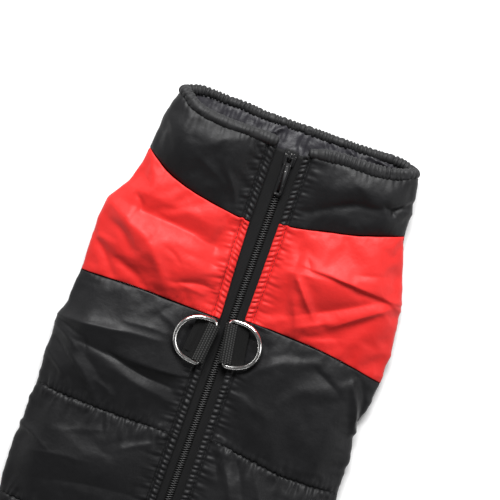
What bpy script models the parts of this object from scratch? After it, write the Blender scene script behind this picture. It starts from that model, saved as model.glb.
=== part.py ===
"""A dog's padded winter vest, laid flat on its belly with the back zip upwards.

The vest is a flattened tube. Its upper side is the dog's back: a collar, a yoke band and a
quilted body on each side of a zip. Its under side is one belly panel with two leg openings.
X runs to the right, Y towards the collar and Z up. The origin is on the ground below the middle.
Places on the cloth are given in millimetres as a distance from the zip and a distance down
from the top of the zip, and are turned into metres when a mesh is laid out.
"""

import math
from collections import namedtuple

import bmesh
import bpy
from mathutils import Matrix, Vector

MM = 0.001                   # metres in a millimetre
SEAM_GAP = 0.3               # room between two pieces that are sewn together

# The whole vest
LENGTH = 350.0               # from the far side of the neck to the tail hem
FAR_TRIM_RISE = 15.5         # how far the far side of the neck lies above the zip's top
ZIP_TOP_Y = LENGTH / 2 - FAR_TRIM_RISE

# The padded upper layer
ZIP_EDGE = 7.0               # from the zip's middle to the folded edge of the cloth
EDGE_WALL = 1.5              # cloth alone, where it is folded and sewn to the zip
PADDED_WALL = 3.5            # cloth with its padding pressed, away from the zip
WALL_GROWS_FROM = 12.0       # distance from the zip where the padding begins
WALL_GROWS_TO = 22.0
SIDE_POWER = 5.0             # higher is flatter in the middle and rounder at the side
ZIP_SAG = 2.5                # how far the zip lies below the panels beside it
ZIP_SAG_WIDTH = 25.0
QUILT_RISE = 4.8             # height of a padded channel between two seams
QUILT_PLUMPNESS = 0.55       # lower is steeper beside the seams
QUILT_FULL_FROM = 38.0       # distance from the zip where a channel has its full height
QUILT_AT_SIDE = 0.25         # share of that height left at the side seam
QUILT_FALLS_FROM = 0.8       # share of the half width where it begins to fall
FOLDS_FULL_AT = 0.83         # share of a channel's height where folds have their full height

# The gathers along the zip: a folded strip, a line of stitches and puckers beside it
STRIP_MIDDLE = 2.5
STITCH_LINE = 5.0
PUCKER_TOP = 8.0
PUCKER_END = 12.5
GATHER_PITCH = 5.7           # about sixty on each side of the zip
GATHER_HEIGHT = 0.45
STITCH_DEPTH = 0.5
STRIP_RISE = 0.35

# The under layer and the lining that shows in the neck
BELLY_WALL = 3.5
BELLY_ROUND = 13.0           # width of the rounded side of the under layer
LINING_WALL = 1.0
LINING_HALF_WIDTH = 58.0
LINING_DEPTH = 46.0
LEG_MIDDLE_DOWN = 128.0
LEG_MIDDLE_X = 60.0
LEG_HALF_LENGTH = 27.0
LEG_HALF_WIDTH = 19.0

# The gathered casing round the neck
TRIM_RADIUS = 2.8
TRIM_GATHERS = 78
TRIM_GATHER_DEPTH = 0.07     # of the radius
TRIM_START = 9.5             # from the zip's middle to each end of the casing

# The zip
CHAIN_HALF_WIDTH = 3.0
CHAIN_TOP = -0.8             # heights measured from the cloth beside the zip
CHAIN_THICKNESS = 1.9
TAPE_TOP = -1.9
TAPE_THICKNESS = 0.9
TAPE_OUTER = 12.0
TAPE_START = 1.5
ZIP_END_MARGIN = 4.0
SLIDER_LENGTH = 9.5
SLIDER_WIDTH = 8.6
SLIDER_POST_WIDTH = 5.2
SLIDER_POST_LENGTH = 8.3
SLIDER_PLATE = 1.2
SLIDER_TAPER = 0.86          # width of a plate's outer face, as a share of its inner one
BRIDGE_WIRE = 0.6            # radius
BRIDGE_RADIUS = 1.7
PIVOT_RISE = 1.05            # of the tab's bar above the slider's top plate
TAB_LENGTH = 24.0
TAB_WIDTH = 5.0
TAB_THICKNESS = 1.2
TAB_EYE_END = 3.1
TAB_EYE_WIDTH = 2.4
TAB_HOLE_RADIUS = 0.9
TAB_HOLE_FROM_END = 2.6
TAB_END_RADIUS = 1.6

# The leash rings and the webbing that holds them
RING_WIRE = 1.4              # radius
RING_HALF_BAR = 14.1
RING_DEPTH = 20.3
RING_CORNER = 2.2            # radius of the turn between the bar and the bow
RING_BOW_POWER = 0.8         # 1 is half an ellipse, lower is fuller at the corners
RING_LIFT = 12.0             # degrees that the ring stands up from the cloth at rest
RING_STEPS = 30
RING_CORNER_STEPS = 4
WEBBING_WIDTH = 24.6
WEBBING_THICKNESS = 0.9
WEBBING_LEG = 12.0
WEBBING_ROUND_BAR = 1.7      # inside radius of the fold

Girth = namedtuple("Girth", "down left right crown seam")
GIRTHS = (
    Girth(-16.0, 73.5, 74.0, 21.0, 10.0),
    Girth(0.0, 77.4, 77.7, 20.5, 9.5),
    Girth(24.0, 80.6, 80.2, 18.5, 8.5),
    Girth(48.0, 85.6, 86.1, 16.8, 7.5),
    Girth(62.0, 93.0, 90.3, 16.2, 7.0),
    Girth(78.0, 96.0, 94.3, 16.0, 6.5),
    Girth(110.0, 96.9, 97.5, 15.0, 6.0),
    Girth(136.0, 98.2, 95.0, 15.0, 6.0),
    Girth(149.0, 98.8, 92.2, 15.0, 6.0),
    Girth(162.0, 100.0, 94.6, 15.0, 6.0),
    Girth(200.0, 100.4, 97.4, 15.0, 6.0),
    Girth(255.0, 101.0, 101.0, 14.5, 6.0),
    Girth(300.0, 99.0, 99.0, 12.0, 5.0),
    Girth(334.5, 96.0, 96.0, 6.5, 2.0),
)

# Seams across the vest: how far down each one lies, from the zip (0) to the side seam (1)
Seam = namedtuple("Seam", "across neck_l neck_r collar_l collar_r yoke_l yoke_r quilt_l quilt_r hem")
SEAMS = (
    Seam(0.0, -0.5, 1.0, 48.9, 44.9, 111.2, 106.7, 187.8, 182.4, 334.5),
    Seam(0.2, -2.6, -2.8, 47.9, 42.8, 110.7, 106.8, 187.8, 183.7, 334.5),
    Seam(0.4, -2.6, -4.3, 45.5, 39.0, 110.1, 107.5, 187.7, 186.2, 333.5),
    Seam(0.6, -2.8, -4.3, 42.2, 35.7, 109.6, 108.9, 187.6, 188.9, 330.0),
    Seam(0.8, -5.0, -5.8, 36.5, 31.0, 110.2, 111.9, 187.0, 189.6, 321.0),
    Seam(1.0, -9.5, -9.5, 27.5, 26.6, 111.5, 116.2, 186.0, 189.7, 303.0),
)
LOWER_QUILT = 259.0
ZIP_END = SEAMS[0].hem - ZIP_END_MARGIN
BELLY_HEM_RISE = 16.0        # how far the belly's hem is above the side seam's end, at the middle

# The largest folds, as long soft ridges (height above 0) and troughs (below 0)
Fold = namedtuple("Fold", "x_a down_a x_b down_b width height")
FOLDS = (
    # collar
    Fold(26.0, 31.0, 46.0, 20.0, 5.5, -1.9),
    Fold(46.0, 20.0, 67.0, 14.0, 5.0, -2.2),
    Fold(34.0, 38.0, 74.0, 23.0, 7.0, 1.2),
    Fold(-62.0, 10.0, -26.0, 8.0, 6.0, 0.9),
    # right side of the yoke
    Fold(34.0, 60.5, 82.0, 61.5, 5.0, 1.9),
    Fold(36.0, 80.0, 79.0, 67.5, 5.5, -2.4),
    Fold(42.0, 94.0, 82.0, 72.0, 5.0, 1.8),
    Fold(62.0, 93.0, 86.0, 78.0, 5.0, -1.4),
    # left side of the yoke
    Fold(-82.0, 50.0, -24.0, 56.0, 7.0, 1.3),
    Fold(-76.0, 61.0, -20.0, 71.0, 6.5, -2.4),
    Fold(-82.0, 69.0, -58.0, 82.0, 6.0, 1.8),
    Fold(-58.0, 82.0, -40.0, 88.0, 8.0, 1.6),
    Fold(-88.0, 77.0, -58.0, 102.0, 6.0, -2.1),
    # right side of the body
    Fold(22.0, 130.0, 62.0, 113.0, 6.0, 1.7),
    Fold(34.0, 130.0, 66.0, 125.0, 6.0, -1.5),
    Fold(83.0, 118.0, 91.0, 148.0, 4.0, 2.2),
    Fold(90.0, 118.0, 93.0, 140.0, 3.5, -2.0),
    Fold(18.0, 155.0, 48.0, 172.0, 7.0, 1.5),
    # left side of the body
    Fold(-96.0, 138.0, -52.0, 131.0, 5.0, 1.7),
    Fold(-90.0, 146.0, -52.0, 143.0, 5.5, -2.0),
    Fold(-52.0, 150.0, -22.0, 151.0, 4.5, 1.4),
    Fold(-62.0, 158.0, -24.0, 162.0, 4.5, 1.8),
    Fold(-90.0, 160.0, -66.0, 178.0, 6.0, 1.4),
    # below the first quilt seam
    Fold(-78.0, 209.0, -22.0, 196.0, 7.0, 1.6),
    Fold(-72.0, 240.0, -24.0, 232.0, 8.0, -1.8),
    Fold(26.0, 194.0, 54.0, 220.0, 8.0, 1.6),
    Fold(34.0, 238.0, 84.0, 244.0, 8.0, -1.8),
    Fold(-78.0, 284.0, -28.0, 296.0, 9.0, -1.8),
    Fold(26.0, 290.0, 76.0, 278.0, 9.0, 1.6),
)

# How the rows and columns of a panel's grid are spaced
CHANNEL_ROWS = (0.0, 0.03, 0.1, 0.22, 0.36, 0.5, 0.64, 0.78, 0.9, 0.97, 1.0)
SIDE_COLUMNS = 11
EDGE_COLUMNS = (0.0, STRIP_MIDDLE, STITCH_LINE, PUCKER_TOP, PUCKER_END)

BLACK = (0.016, 0.016, 0.018, 1.0)
RED = (0.72, 0.035, 0.030, 1.0)
LINING_GREY = (0.075, 0.070, 0.085, 1.0)
CHROME = (0.80, 0.80, 0.80, 1.0)

LEFT = -1
RIGHT = 1
SIDE_NAMES = {LEFT: "left", RIGHT: "right"}


def slope_at(places, values, i):
    """Slope of the smooth line through a table at one of its rows."""
    low = max(i - 1, 0)
    high = min(i + 1, len(places) - 1)
    return (values[high] - values[low]) / (places[high] - places[low])


def read_table(rows, key, column, at):
    """One column's value at a place between the rows, on a smooth line through them."""
    places = [getattr(row, key) for row in rows]
    values = [getattr(row, column) for row in rows]
    at = min(max(at, places[0]), places[-1])
    i = 0
    while i < len(places) - 2 and at > places[i + 1]:
        i += 1
    span = places[i + 1] - places[i]
    t = (at - places[i]) / span
    start = slope_at(places, values, i) * span
    end = slope_at(places, values, i + 1) * span
    rise = values[i + 1] - values[i]
    return values[i] + start * t + (3 * rise - 2 * start - end) * t ** 2 + (start + end - 2 * rise) * t ** 3


def ramp(value, low, high):
    """A soft step from 0 at low to 1 at high."""
    t = min(max((value - low) / (high - low), 0.0), 1.0)
    return t * t * (3 - 2 * t)


def half_width(side, down):
    """Half the vest's width on one side, at a distance down."""
    return read_table(GIRTHS, "down", "left" if side == LEFT else "right", down)


def seam_line(name, side, across):
    """How far down a named seam lies, at a share of the way from the zip to the side."""
    if name == "lower":
        return LOWER_QUILT
    column = name if name == "hem" else name + ("_l" if side == LEFT else "_r")
    return read_table(SEAMS, "across", column, across)


def crown_height(distance, down):
    """Height of the plain outer cloth before it rounds down to the side seam."""
    sag = ZIP_SAG * math.exp(-(distance / ZIP_SAG_WIDTH) ** 2)
    return read_table(GIRTHS, "down", "crown", down) - sag


def upper_point(side, distance, down, depth):
    """A point of the upper layer, at a depth below its plain outer cloth (above it if negative).

    Points of equal distance and down lie on one line through the wall, so the wall's faces never
    cross: the depth is taken off the height in the middle and off the width at the side.
    """
    width = half_width(side, down)
    share = min(distance / width, 1.0)
    seam = read_table(GIRTHS, "down", "seam", down)
    roundness = math.sqrt(1 - share ** SIDE_POWER)
    height = seam + SEAM_GAP / 2 + (crown_height(distance, down) - depth - seam) * roundness
    outward = distance - depth * share ** SIDE_POWER
    return Vector((side * outward, ZIP_TOP_Y - down, height)) * MM


def zip_height(down):
    """Height of the cloth beside the zip, in millimetres."""
    return upper_point(RIGHT, 0.0, down, 0.0).z / MM


def wall_at(distance):
    """Thickness of the upper layer: bare cloth by the zip, padded further out."""
    return EDGE_WALL + (PADDED_WALL - EDGE_WALL) * ramp(distance, WALL_GROWS_FROM, WALL_GROWS_TO)


def fold_height(x, down):
    """Height that the largest folds add at a place."""
    total = 0.0
    for fold in FOLDS:
        run_x = fold.x_b - fold.x_a
        run_down = fold.down_b - fold.down_a
        length = math.hypot(run_x, run_down)
        along = ((x - fold.x_a) * run_x + (down - fold.down_a) * run_down) / length
        aside = ((x - fold.x_a) * run_down - (down - fold.down_a) * run_x) / length
        beyond = max(-along, along - length, 0.0)
        total += fold.height * math.exp(-(aside / fold.width) ** 2 - (beyond / (2 * fold.width)) ** 2)
    return total


def quilt_height(side, distance, down, top, bottom):
    """Height of a padded channel between two seams, with its folds."""
    t = min(max((down - top) / (bottom - top), 0.0), 1.0)
    plump = math.sin(math.pi * t) ** QUILT_PLUMPNESS if 0.0 < t < 1.0 else 0.0
    share = distance / half_width(side, down)
    spread = ramp(distance, ZIP_EDGE + STITCH_LINE, QUILT_FULL_FROM)
    spread *= 1 - (1 - QUILT_AT_SIDE) * ramp(share, QUILT_FALLS_FROM, 1.0)
    folds = fold_height(side * distance, down) * min(plump / FOLDS_FULL_AT, 1.0)
    return (QUILT_RISE * plump + folds) * spread


def gather_height(distance, down):
    """Height of the folded strip beside the zip, its line of stitches and the puckers."""
    from_edge = distance - ZIP_EDGE
    if from_edge >= PUCKER_END:
        return 0.0
    wave = math.cos(2 * math.pi * down / GATHER_PITCH)
    if from_edge <= STITCH_LINE:
        bulge = math.sin(math.pi * from_edge / STITCH_LINE)
        return STRIP_RISE * bulge + GATHER_HEIGHT * wave * bulge - STITCH_DEPTH * ramp(from_edge, 2.5, 5.0)
    beyond = (from_edge - STITCH_LINE) / (PUCKER_END - STITCH_LINE)
    return GATHER_HEIGHT * wave * math.sin(math.pi * beyond) - STITCH_DEPTH * (1 - beyond)


def new_collection(name):
    collection = bpy.data.collections.new(name)
    bpy.context.scene.collection.children.link(collection)
    return collection


def new_material(name, colour, roughness, metallic=0.0):
    material = bpy.data.materials.new(name)
    material.use_nodes = True
    shader = material.node_tree.nodes["Principled BSDF"]
    shader.inputs["Base Color"].default_value = colour
    shader.inputs["Roughness"].default_value = roughness
    shader.inputs["Metallic"].default_value = metallic
    material.diffuse_color = colour
    return material


def finish_object(name, bm, material, collection):
    """Turn a bmesh into a named object with its faces pointing out."""
    bmesh.ops.triangulate(bm, faces=bm.faces[:])
    bmesh.ops.recalc_face_normals(bm, faces=bm.faces[:])
    mesh = bpy.data.meshes.new(name)
    bm.to_mesh(mesh)
    bm.free()
    mesh.shade_smooth()
    piece = bpy.data.objects.new(name, mesh)
    mesh.materials.append(material)
    collection.objects.link(piece)
    return piece


def wall_grid(columns, rows):
    """A flat grid with a second layer under it, closed round the edge.

    A vertex holds its column in x, its row in y, and in z 0 for the outer layer or 1 for the inner.
    """
    bm = bmesh.new()
    bmesh.ops.create_grid(bm, x_segments=columns, y_segments=rows, size=0.5)
    for vert in bm.verts:
        vert.co = Vector(((vert.co.x + 0.5) * columns, (vert.co.y + 0.5) * rows, 0.0))
    inner = bmesh.ops.extrude_face_region(bm, geom=bm.faces[:])
    for item in inner["geom"]:
        if isinstance(item, bmesh.types.BMVert):
            item.co.z = 1.0
    return bm


def between(steps, place):
    """Value at a place that may lie between two entries of a list of steps."""
    i = min(int(place), len(steps) - 2)
    return steps[i] + (steps[i + 1] - steps[i]) * (place - i)


def panel_rows(seams):
    """Rows of a panel, each with its place between two of the seams that cross it."""
    rows = [(0, 0.0)]
    for channel in range(len(seams) - 1):
        for share in CHANNEL_ROWS[1:]:
            rows.append((channel, share))
    return rows


def panel_place(seams, side, column, row):
    """Distance from the zip, distance down and the seams above and below, for a grid place."""
    rows = panel_rows(seams)
    i = min(int(row), len(rows) - 2)
    channel = rows[i + 1][0]
    start = rows[i][1] if rows[i][0] == channel else 0.0
    share = start + (rows[i + 1][1] - start) * (row - i)
    edge = len(EDGE_COLUMNS) - 1
    turn = max(column - edge, 0.0) / SIDE_COLUMNS * math.pi / 2
    across = (ZIP_EDGE + between(EDGE_COLUMNS, min(column, edge))) / half_width(side, 100.0)
    across += (1 - across) * math.sin(turn)
    top = seam_line(seams[channel], side, across)
    bottom = seam_line(seams[channel + 1], side, across)
    margin_top = SEAM_GAP / 2 if channel == 0 else 0.0
    margin_bottom = SEAM_GAP / 2 if channel == len(seams) - 2 else 0.0
    if seams[channel] == "neck":
        margin_top = TRIM_RADIUS * (1 + TRIM_GATHER_DEPTH) + SEAM_GAP
    if seams[channel + 1] == "hem":
        margin_bottom = 0.0
    top += margin_top
    bottom -= margin_bottom
    down = top + (bottom - top) * share
    if column <= edge:
        distance = ZIP_EDGE + between(EDGE_COLUMNS, column)
    else:
        start = ZIP_EDGE + PUCKER_END
        distance = start + (half_width(side, down) - start) * math.sin(turn)
    return distance, down, top, bottom


def build_panel(name, seams, side, material, collection):
    """One padded panel of the upper layer, with its channels and the gathers beside the zip."""
    columns = len(EDGE_COLUMNS) - 1 + SIDE_COLUMNS
    row_count = len(panel_rows(seams)) - 1
    bm = wall_grid(columns, row_count)
    for row in range(row_count):
        high = panel_place(seams, side, 0.0, row)[1]
        low = panel_place(seams, side, 0.0, row + 1)[1]
        cuts = round((low - high) / (GATHER_PITCH / 2)) - 1
        if cuts < 1:
            continue
        edges = []
        for edge in bm.edges:
            a, b = edge.verts
            in_row = abs(a.co.y + b.co.y - (2 * row + 1)) < 0.01 and abs(a.co.y - b.co.y) > 0.99
            if in_row and a.co.z + b.co.z == 0.0 and a.co.x < len(EDGE_COLUMNS) - 1.5:
                edges.append(edge)
        bmesh.ops.subdivide_edges(bm, edges=edges, cuts=cuts, use_grid_fill=True)
    for vert in bm.verts:
        distance, down, top, bottom = panel_place(seams, side, vert.co.x, vert.co.y)
        depth = wall_at(distance)
        if vert.co.z < 0.5:
            depth = -quilt_height(side, distance, down, top, bottom) - gather_height(distance, down)
        vert.co = upper_point(side, distance, down, depth)
    return finish_object(name, bm, material, collection)


def neck_point(side, across, depth):
    """A point of the neck's edge on the upper layer."""
    down = seam_line("neck", side, across)
    return upper_point(side, across * half_width(side, down), down, depth)


def belly_point(side, across, down, share):
    """A point of the under layer, from its underside (share 0) to its inner face (share 1)."""
    width = half_width(side, down)
    seam = read_table(GIRTHS, "down", "seam", down)
    flat = width - BELLY_ROUND
    wall = BELLY_WALL * share
    if across * width <= flat:
        return Vector((side * across * width, ZIP_TOP_Y - down, wall)) * MM
    sine = (across * width - flat) / BELLY_ROUND
    outward = flat + (BELLY_ROUND - wall) * sine
    height = seam - SEAM_GAP / 2 - (seam - wall) * math.sqrt(max(1 - sine ** 2, 0.0))
    if across < 1.0:
        height = max(height, wall)
    return Vector((side * outward, ZIP_TOP_Y - down, height)) * MM


def far_neck_line(across):
    """How far down the middle of the casing lies on the under layer."""
    side_down = SEAMS[-1].neck_l
    far_down = -FAR_TRIM_RISE + TRIM_RADIUS
    return far_down + (side_down - far_down) * ramp(across, 0.83, 1.0)


def belly_hem_line(across):
    """How far down the belly's hem lies: level with the side seam's end, higher in the middle."""
    return SEAMS[-1].hem - BELLY_HEM_RISE * (1 - across ** 3)


def build_belly(material, collection, cutters):
    """The under layer: flat where it rests, rounded up to the side seams, with two leg openings."""
    turns = 5
    flat_steps = 6
    half = flat_steps + turns
    rows = 16
    bm = wall_grid(2 * half, rows)
    for vert in bm.verts:
        place = vert.co.x - half
        side = LEFT if place < 0 else RIGHT
        step = abs(place)
        flat_share = 1 - BELLY_ROUND / half_width(side, 100.0)
        across = flat_share * min(step / flat_steps, 1.0)
        if step > flat_steps:
            across += (1 - flat_share) * math.sin((step - flat_steps) / turns * math.pi / 2)
        top = far_neck_line(across) + TRIM_RADIUS * (1 + TRIM_GATHER_DEPTH) + SEAM_GAP
        down = top + (belly_hem_line(across) - top) * vert.co.y / rows
        vert.co = belly_point(side, across, down, vert.co.z)
    belly = finish_object("belly_panel", bm, material, collection)
    for side in (LEFT, RIGHT):
        cutter_bm = bmesh.new()
        bmesh.ops.create_cone(cutter_bm, cap_ends=True, segments=32, radius1=1.0, radius2=1.0, depth=1.0)
        cutter_bm.transform(Matrix.Diagonal((LEG_HALF_WIDTH * MM, LEG_HALF_LENGTH * MM, 40 * MM, 1)))
        middle = Vector((side * LEG_MIDDLE_X, ZIP_TOP_Y - LEG_MIDDLE_DOWN, 0.0)) * MM
        cutter_bm.transform(Matrix.Translation(middle))
        cutter = finish_object("leg_cutter_" + SIDE_NAMES[side], cutter_bm, material, cutters)
        cut = belly.modifiers.new("leg_opening_" + SIDE_NAMES[side], "BOOLEAN")
        cut.operation = "DIFFERENCE"
        cut.object = cutter
    return belly


def build_lining(material, collection):
    """The lining that shows inside the far side of the neck, just above the under layer."""
    columns = 8
    rows = 4
    bm = wall_grid(columns, rows)
    for vert in bm.verts:
        x = (2 * vert.co.x / columns - 1) * LINING_HALF_WIDTH
        side = LEFT if x < 0 else RIGHT
        top = -FAR_TRIM_RISE + 2 * TRIM_RADIUS + 2 * SEAM_GAP
        down = top + LINING_DEPTH * vert.co.y / rows
        across = abs(x) / half_width(side, down)
        point = belly_point(side, across, down, 1.0)
        rise = SEAM_GAP + LINING_WALL * (1 - vert.co.z)
        vert.co = point + Vector((0.0, 0.0, rise * MM))
    return finish_object("collar_lining", bm, material, collection)


def wire_object(name, points, radii, radius, cyclic, material, collection):
    """A round wire or tube along a list of points."""
    curve = bpy.data.curves.new(name, "CURVE")
    curve.dimensions = "3D"
    curve.bevel_depth = radius * MM
    curve.bevel_resolution = 2
    curve.use_fill_caps = not cyclic
    spline = curve.splines.new("POLY")
    spline.points.add(len(points) - 1)
    for target, point, share in zip(spline.points, points, radii):
        target.co = (point.x, point.y, point.z, 1.0)
        target.radius = share
    spline.use_cyclic_u = cyclic
    spline.use_smooth = True
    curve.materials.append(material)
    wire = bpy.data.objects.new(name, curve)
    collection.objects.link(wire)
    return wire


def neck_route():
    """The casing's middle line: from the zip round the near side, the far side and back."""
    points = []
    steps = 24
    for side, order in ((LEFT, 1), (RIGHT, -1)):
        half = []
        start = TRIM_START / half_width(side, 0.0)
        for i in range(steps + 1):
            across = start + (1 - start) * math.sin(i / steps * math.pi / 2)
            half.append(neck_point(side, across, PADDED_WALL / 2))
        for i in range(1, steps + 1):
            across = math.cos(i / steps * math.pi / 2)
            point = belly_point(side, across, far_neck_line(across), 0.5)
            point.z = max(point.z, TRIM_RADIUS * (1 + TRIM_GATHER_DEPTH) * MM)
            half.append(point)
        points.append(half[::order])
    return points[0] + points[1][1:]


def spread_evenly(route, count):
    """Points at equal distances along a route."""
    lengths = [0.0]
    for a, b in zip(route, route[1:]):
        lengths.append(lengths[-1] + (b - a).length)
    result = []
    i = 0
    for k in range(count):
        target = lengths[-1] * k / (count - 1)
        while i < len(route) - 2 and lengths[i + 1] < target:
            i += 1
        share = (target - lengths[i]) / (lengths[i + 1] - lengths[i])
        result.append(route[i].lerp(route[i + 1], share))
    return result


def smoothed(points, passes):
    """The same points with their corners eased; the two ends stay."""
    for _ in range(passes):
        inner = [(a + 2 * b + c) / 4 for a, b, c in zip(points, points[1:], points[2:])]
        points = [points[0]] + inner + [points[-1]]
    return points


def build_neck_binding(material, collection):
    """The elastic casing round the neck, pulled into small gathers, open at the zip."""
    count = 2 * TRIM_GATHERS + 1
    points = smoothed(spread_evenly(neck_route(), count), 4)
    radii = [1 + TRIM_GATHER_DEPTH * (1 if i % 2 else -1) for i in range(count)]
    return wire_object("neck_binding", points, radii, TRIM_RADIUS, False, material, collection)


def zip_strip(name, x_low, x_high, start, end, top, thickness, material, collection):
    """A flat strip of the zip that follows the height of the cloth beside it."""
    rows = 22
    bm = wall_grid(1, rows)
    for vert in bm.verts:
        x = x_low + (x_high - x_low) * vert.co.x
        down = start + (end - start) * vert.co.y / rows
        cloth = upper_point(RIGHT, abs(x), down, 0.0).z
        height = cloth + (top - thickness * vert.co.z) * MM
        vert.co = Vector((x * MM, (ZIP_TOP_Y - down) * MM, height))
    return finish_object(name, bm, material, collection)


def build_zip(tape_material, chain_material, collection):
    inner = CHAIN_HALF_WIDTH + SEAM_GAP
    for side in (LEFT, RIGHT):
        low, high = sorted((side * inner, side * TAPE_OUTER))
        zip_strip("zip_tape_" + SIDE_NAMES[side], low, high, TAPE_START, ZIP_END, TAPE_TOP,
                  TAPE_THICKNESS, tape_material, collection)
    zip_strip("zip_chain", -CHAIN_HALF_WIDTH, CHAIN_HALF_WIDTH, SLIDER_LENGTH + SEAM_GAP, ZIP_END,
              CHAIN_TOP, CHAIN_THICKNESS, chain_material, collection)


def widen_end(bm, direction):
    """Pull one end face of the slider's post out into a plate with sloping sides."""
    face = max(bm.faces, key=lambda f: f.calc_center_median().z * direction)
    ledge = bmesh.ops.extrude_discrete_faces(bm, faces=[face])["faces"]
    for vert in ledge[0].verts:
        vert.co.x = math.copysign(SLIDER_WIDTH / 2, vert.co.x)
        vert.co.y = math.copysign(SLIDER_LENGTH / 2, vert.co.y)
    plate = bmesh.ops.extrude_discrete_faces(bm, faces=ledge)["faces"]
    for vert in plate[0].verts:
        vert.co.z += direction * SLIDER_PLATE
        vert.co.x *= SLIDER_TAPER
        vert.co.y *= SLIDER_TAPER


def slider_top():
    """Height of the slider's top plate above the cloth beside the zip."""
    return TAPE_TOP + SEAM_GAP + SLIDER_PLATE


def pivot_place():
    """The middle of the pull tab's bar, in metres."""
    down = SLIDER_LENGTH / 2
    height = zip_height(down) + slider_top() + PIVOT_RISE
    return Vector((0.0, ZIP_TOP_Y - down, height)) * MM


def zip_slope():
    """The angle at which the zip falls away below the slider."""
    fall = zip_height(SLIDER_LENGTH / 2) - zip_height(SLIDER_LENGTH / 2 + TAB_LENGTH)
    return math.atan2(fall, TAB_LENGTH)


def build_slider(material, collection, cutters):
    """The slider: two plates on a post between the tapes, with a bridge that holds the tab."""
    post_high = TAPE_TOP + SEAM_GAP
    post_low = TAPE_TOP - TAPE_THICKNESS - SEAM_GAP
    bm = bmesh.new()
    bmesh.ops.create_cube(bm, size=1.0)
    for vert in bm.verts:
        vert.co.x *= SLIDER_POST_WIDTH
        vert.co.y *= SLIDER_POST_LENGTH
        vert.co.z = post_high if vert.co.z > 0 else post_low
    widen_end(bm, 1)
    widen_end(bm, -1)
    middle = SLIDER_LENGTH / 2
    for vert in bm.verts:
        down = middle - vert.co.y
        vert.co = Vector((vert.co.x, ZIP_TOP_Y - down, zip_height(down) + vert.co.z)) * MM
    slider = finish_object("zip_slider", bm, material, collection)

    bridge_bm = bmesh.new()
    bmesh.ops.create_circle(bridge_bm, segments=8, radius=BRIDGE_WIRE * MM)
    bridge_bm.transform(Matrix.Translation((0.0, BRIDGE_RADIUS * MM, 0.0)))
    bmesh.ops.spin(bridge_bm, geom=bridge_bm.edges[:], cent=(0, 0, 0), axis=(1, 0, 0),
                   angle=2 * math.pi, steps=16, use_merge=True, use_duplicate=False)
    bridge_bm.transform(Matrix.Translation(pivot_place()))
    bridge = finish_object("slider_bridge", bridge_bm, material, cutters)
    join = slider.modifiers.new("bridge", "BOOLEAN")
    join.operation = "UNION"
    join.object = bridge
    return slider


def build_tab(material, collection, cutters):
    """The pull tab: a flat bar with an eye round the slider's bridge, lying down along the zip."""
    pivot = pivot_place()
    hinge = bpy.data.objects.new("pull_tab_hinge", None)
    hinge.location = pivot
    hinge.rotation_euler = (zip_slope(), 0.0, 0.0)
    collection.objects.link(hinge)

    bm = bmesh.new()
    bmesh.ops.create_cube(bm, size=1.0)
    for vert in bm.verts:
        vert.co.x *= TAB_WIDTH * MM
        vert.co.y = (TAB_THICKNESS / 2 if vert.co.y > 0 else -TAB_LENGTH) * MM
        vert.co.z *= TAB_THICKNESS * MM
    uprights = [e for e in bm.edges if abs(e.verts[0].co.z - e.verts[1].co.z) > 0.5 * TAB_THICKNESS * MM]
    ends = [e for e in uprights if e.verts[0].co.y < -0.5 * TAB_LENGTH * MM]
    bmesh.ops.bevel(bm, geom=ends, offset=TAB_END_RADIUS * MM, segments=4, profile=0.5,
                    affect="EDGES", material=-1)
    tab = finish_object("pull_tab", bm, material, collection)
    tab.parent = hinge

    eye_bm = bmesh.new()
    bmesh.ops.create_cube(eye_bm, size=1.0)
    for vert in eye_bm.verts:
        vert.co.x *= TAB_EYE_WIDTH * MM
        vert.co.y = (-TAB_THICKNESS / 2 if vert.co.y > 0 else -TAB_EYE_END) * MM
        vert.co.z *= 4 * TAB_THICKNESS * MM
    hole_bm = bmesh.new()
    bmesh.ops.create_cone(hole_bm, cap_ends=True, segments=12, radius1=TAB_HOLE_RADIUS * MM,
                          radius2=TAB_HOLE_RADIUS * MM, depth=4 * TAB_THICKNESS * MM)
    hole_bm.transform(Matrix.Translation((0.0, -(TAB_LENGTH - TAB_HOLE_FROM_END) * MM, 0.0)))
    for name, cutter_bm in (("tab_eye", eye_bm), ("tab_hole", hole_bm)):
        cutter = finish_object(name, cutter_bm, material, cutters)
        cutter.parent = hinge
        cut = tab.modifiers.new(name, "BOOLEAN")
        cut.operation = "DIFFERENCE"
        cut.object = cutter
    return tab


# Where each ring's bar lies: its middle, and how far it is turned from the zip's line
RingSeat = namedtuple("RingSeat", "x down turn")
RING_SEATS = {LEFT: RingSeat(-9.6, 126.8, -6.0), RIGHT: RingSeat(2.0, 123.0, 9.0)}


def ring_frame(side):
    """Places a ring or its webbing: x runs outwards from the bar, y along the bar."""
    seat = RING_SEATS[side]
    turn = Matrix.Rotation(math.radians(seat.turn), 4, "Z")
    place = Matrix.Translation(Vector((seat.x, ZIP_TOP_Y - seat.down, 0.0)) * MM)
    return place @ turn @ Matrix.Diagonal((side, 1.0, 1.0, 1.0))


def cloth_height(x, down):
    """Height of the upper layer's outer face, in millimetres."""
    side = LEFT if x < 0 else RIGHT
    distance = abs(x)
    if distance < ZIP_EDGE:
        return upper_point(side, distance, down, 0.0).z / MM
    across = distance / half_width(side, down)
    top = seam_line("yoke", side, across)
    bottom = seam_line("quilt", side, across)
    rise = quilt_height(side, distance, down, top, bottom)
    if distance < ZIP_EDGE + PUCKER_END:
        rise += GATHER_HEIGHT + STRIP_RISE
    return upper_point(side, distance, down, -rise).z / MM


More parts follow.
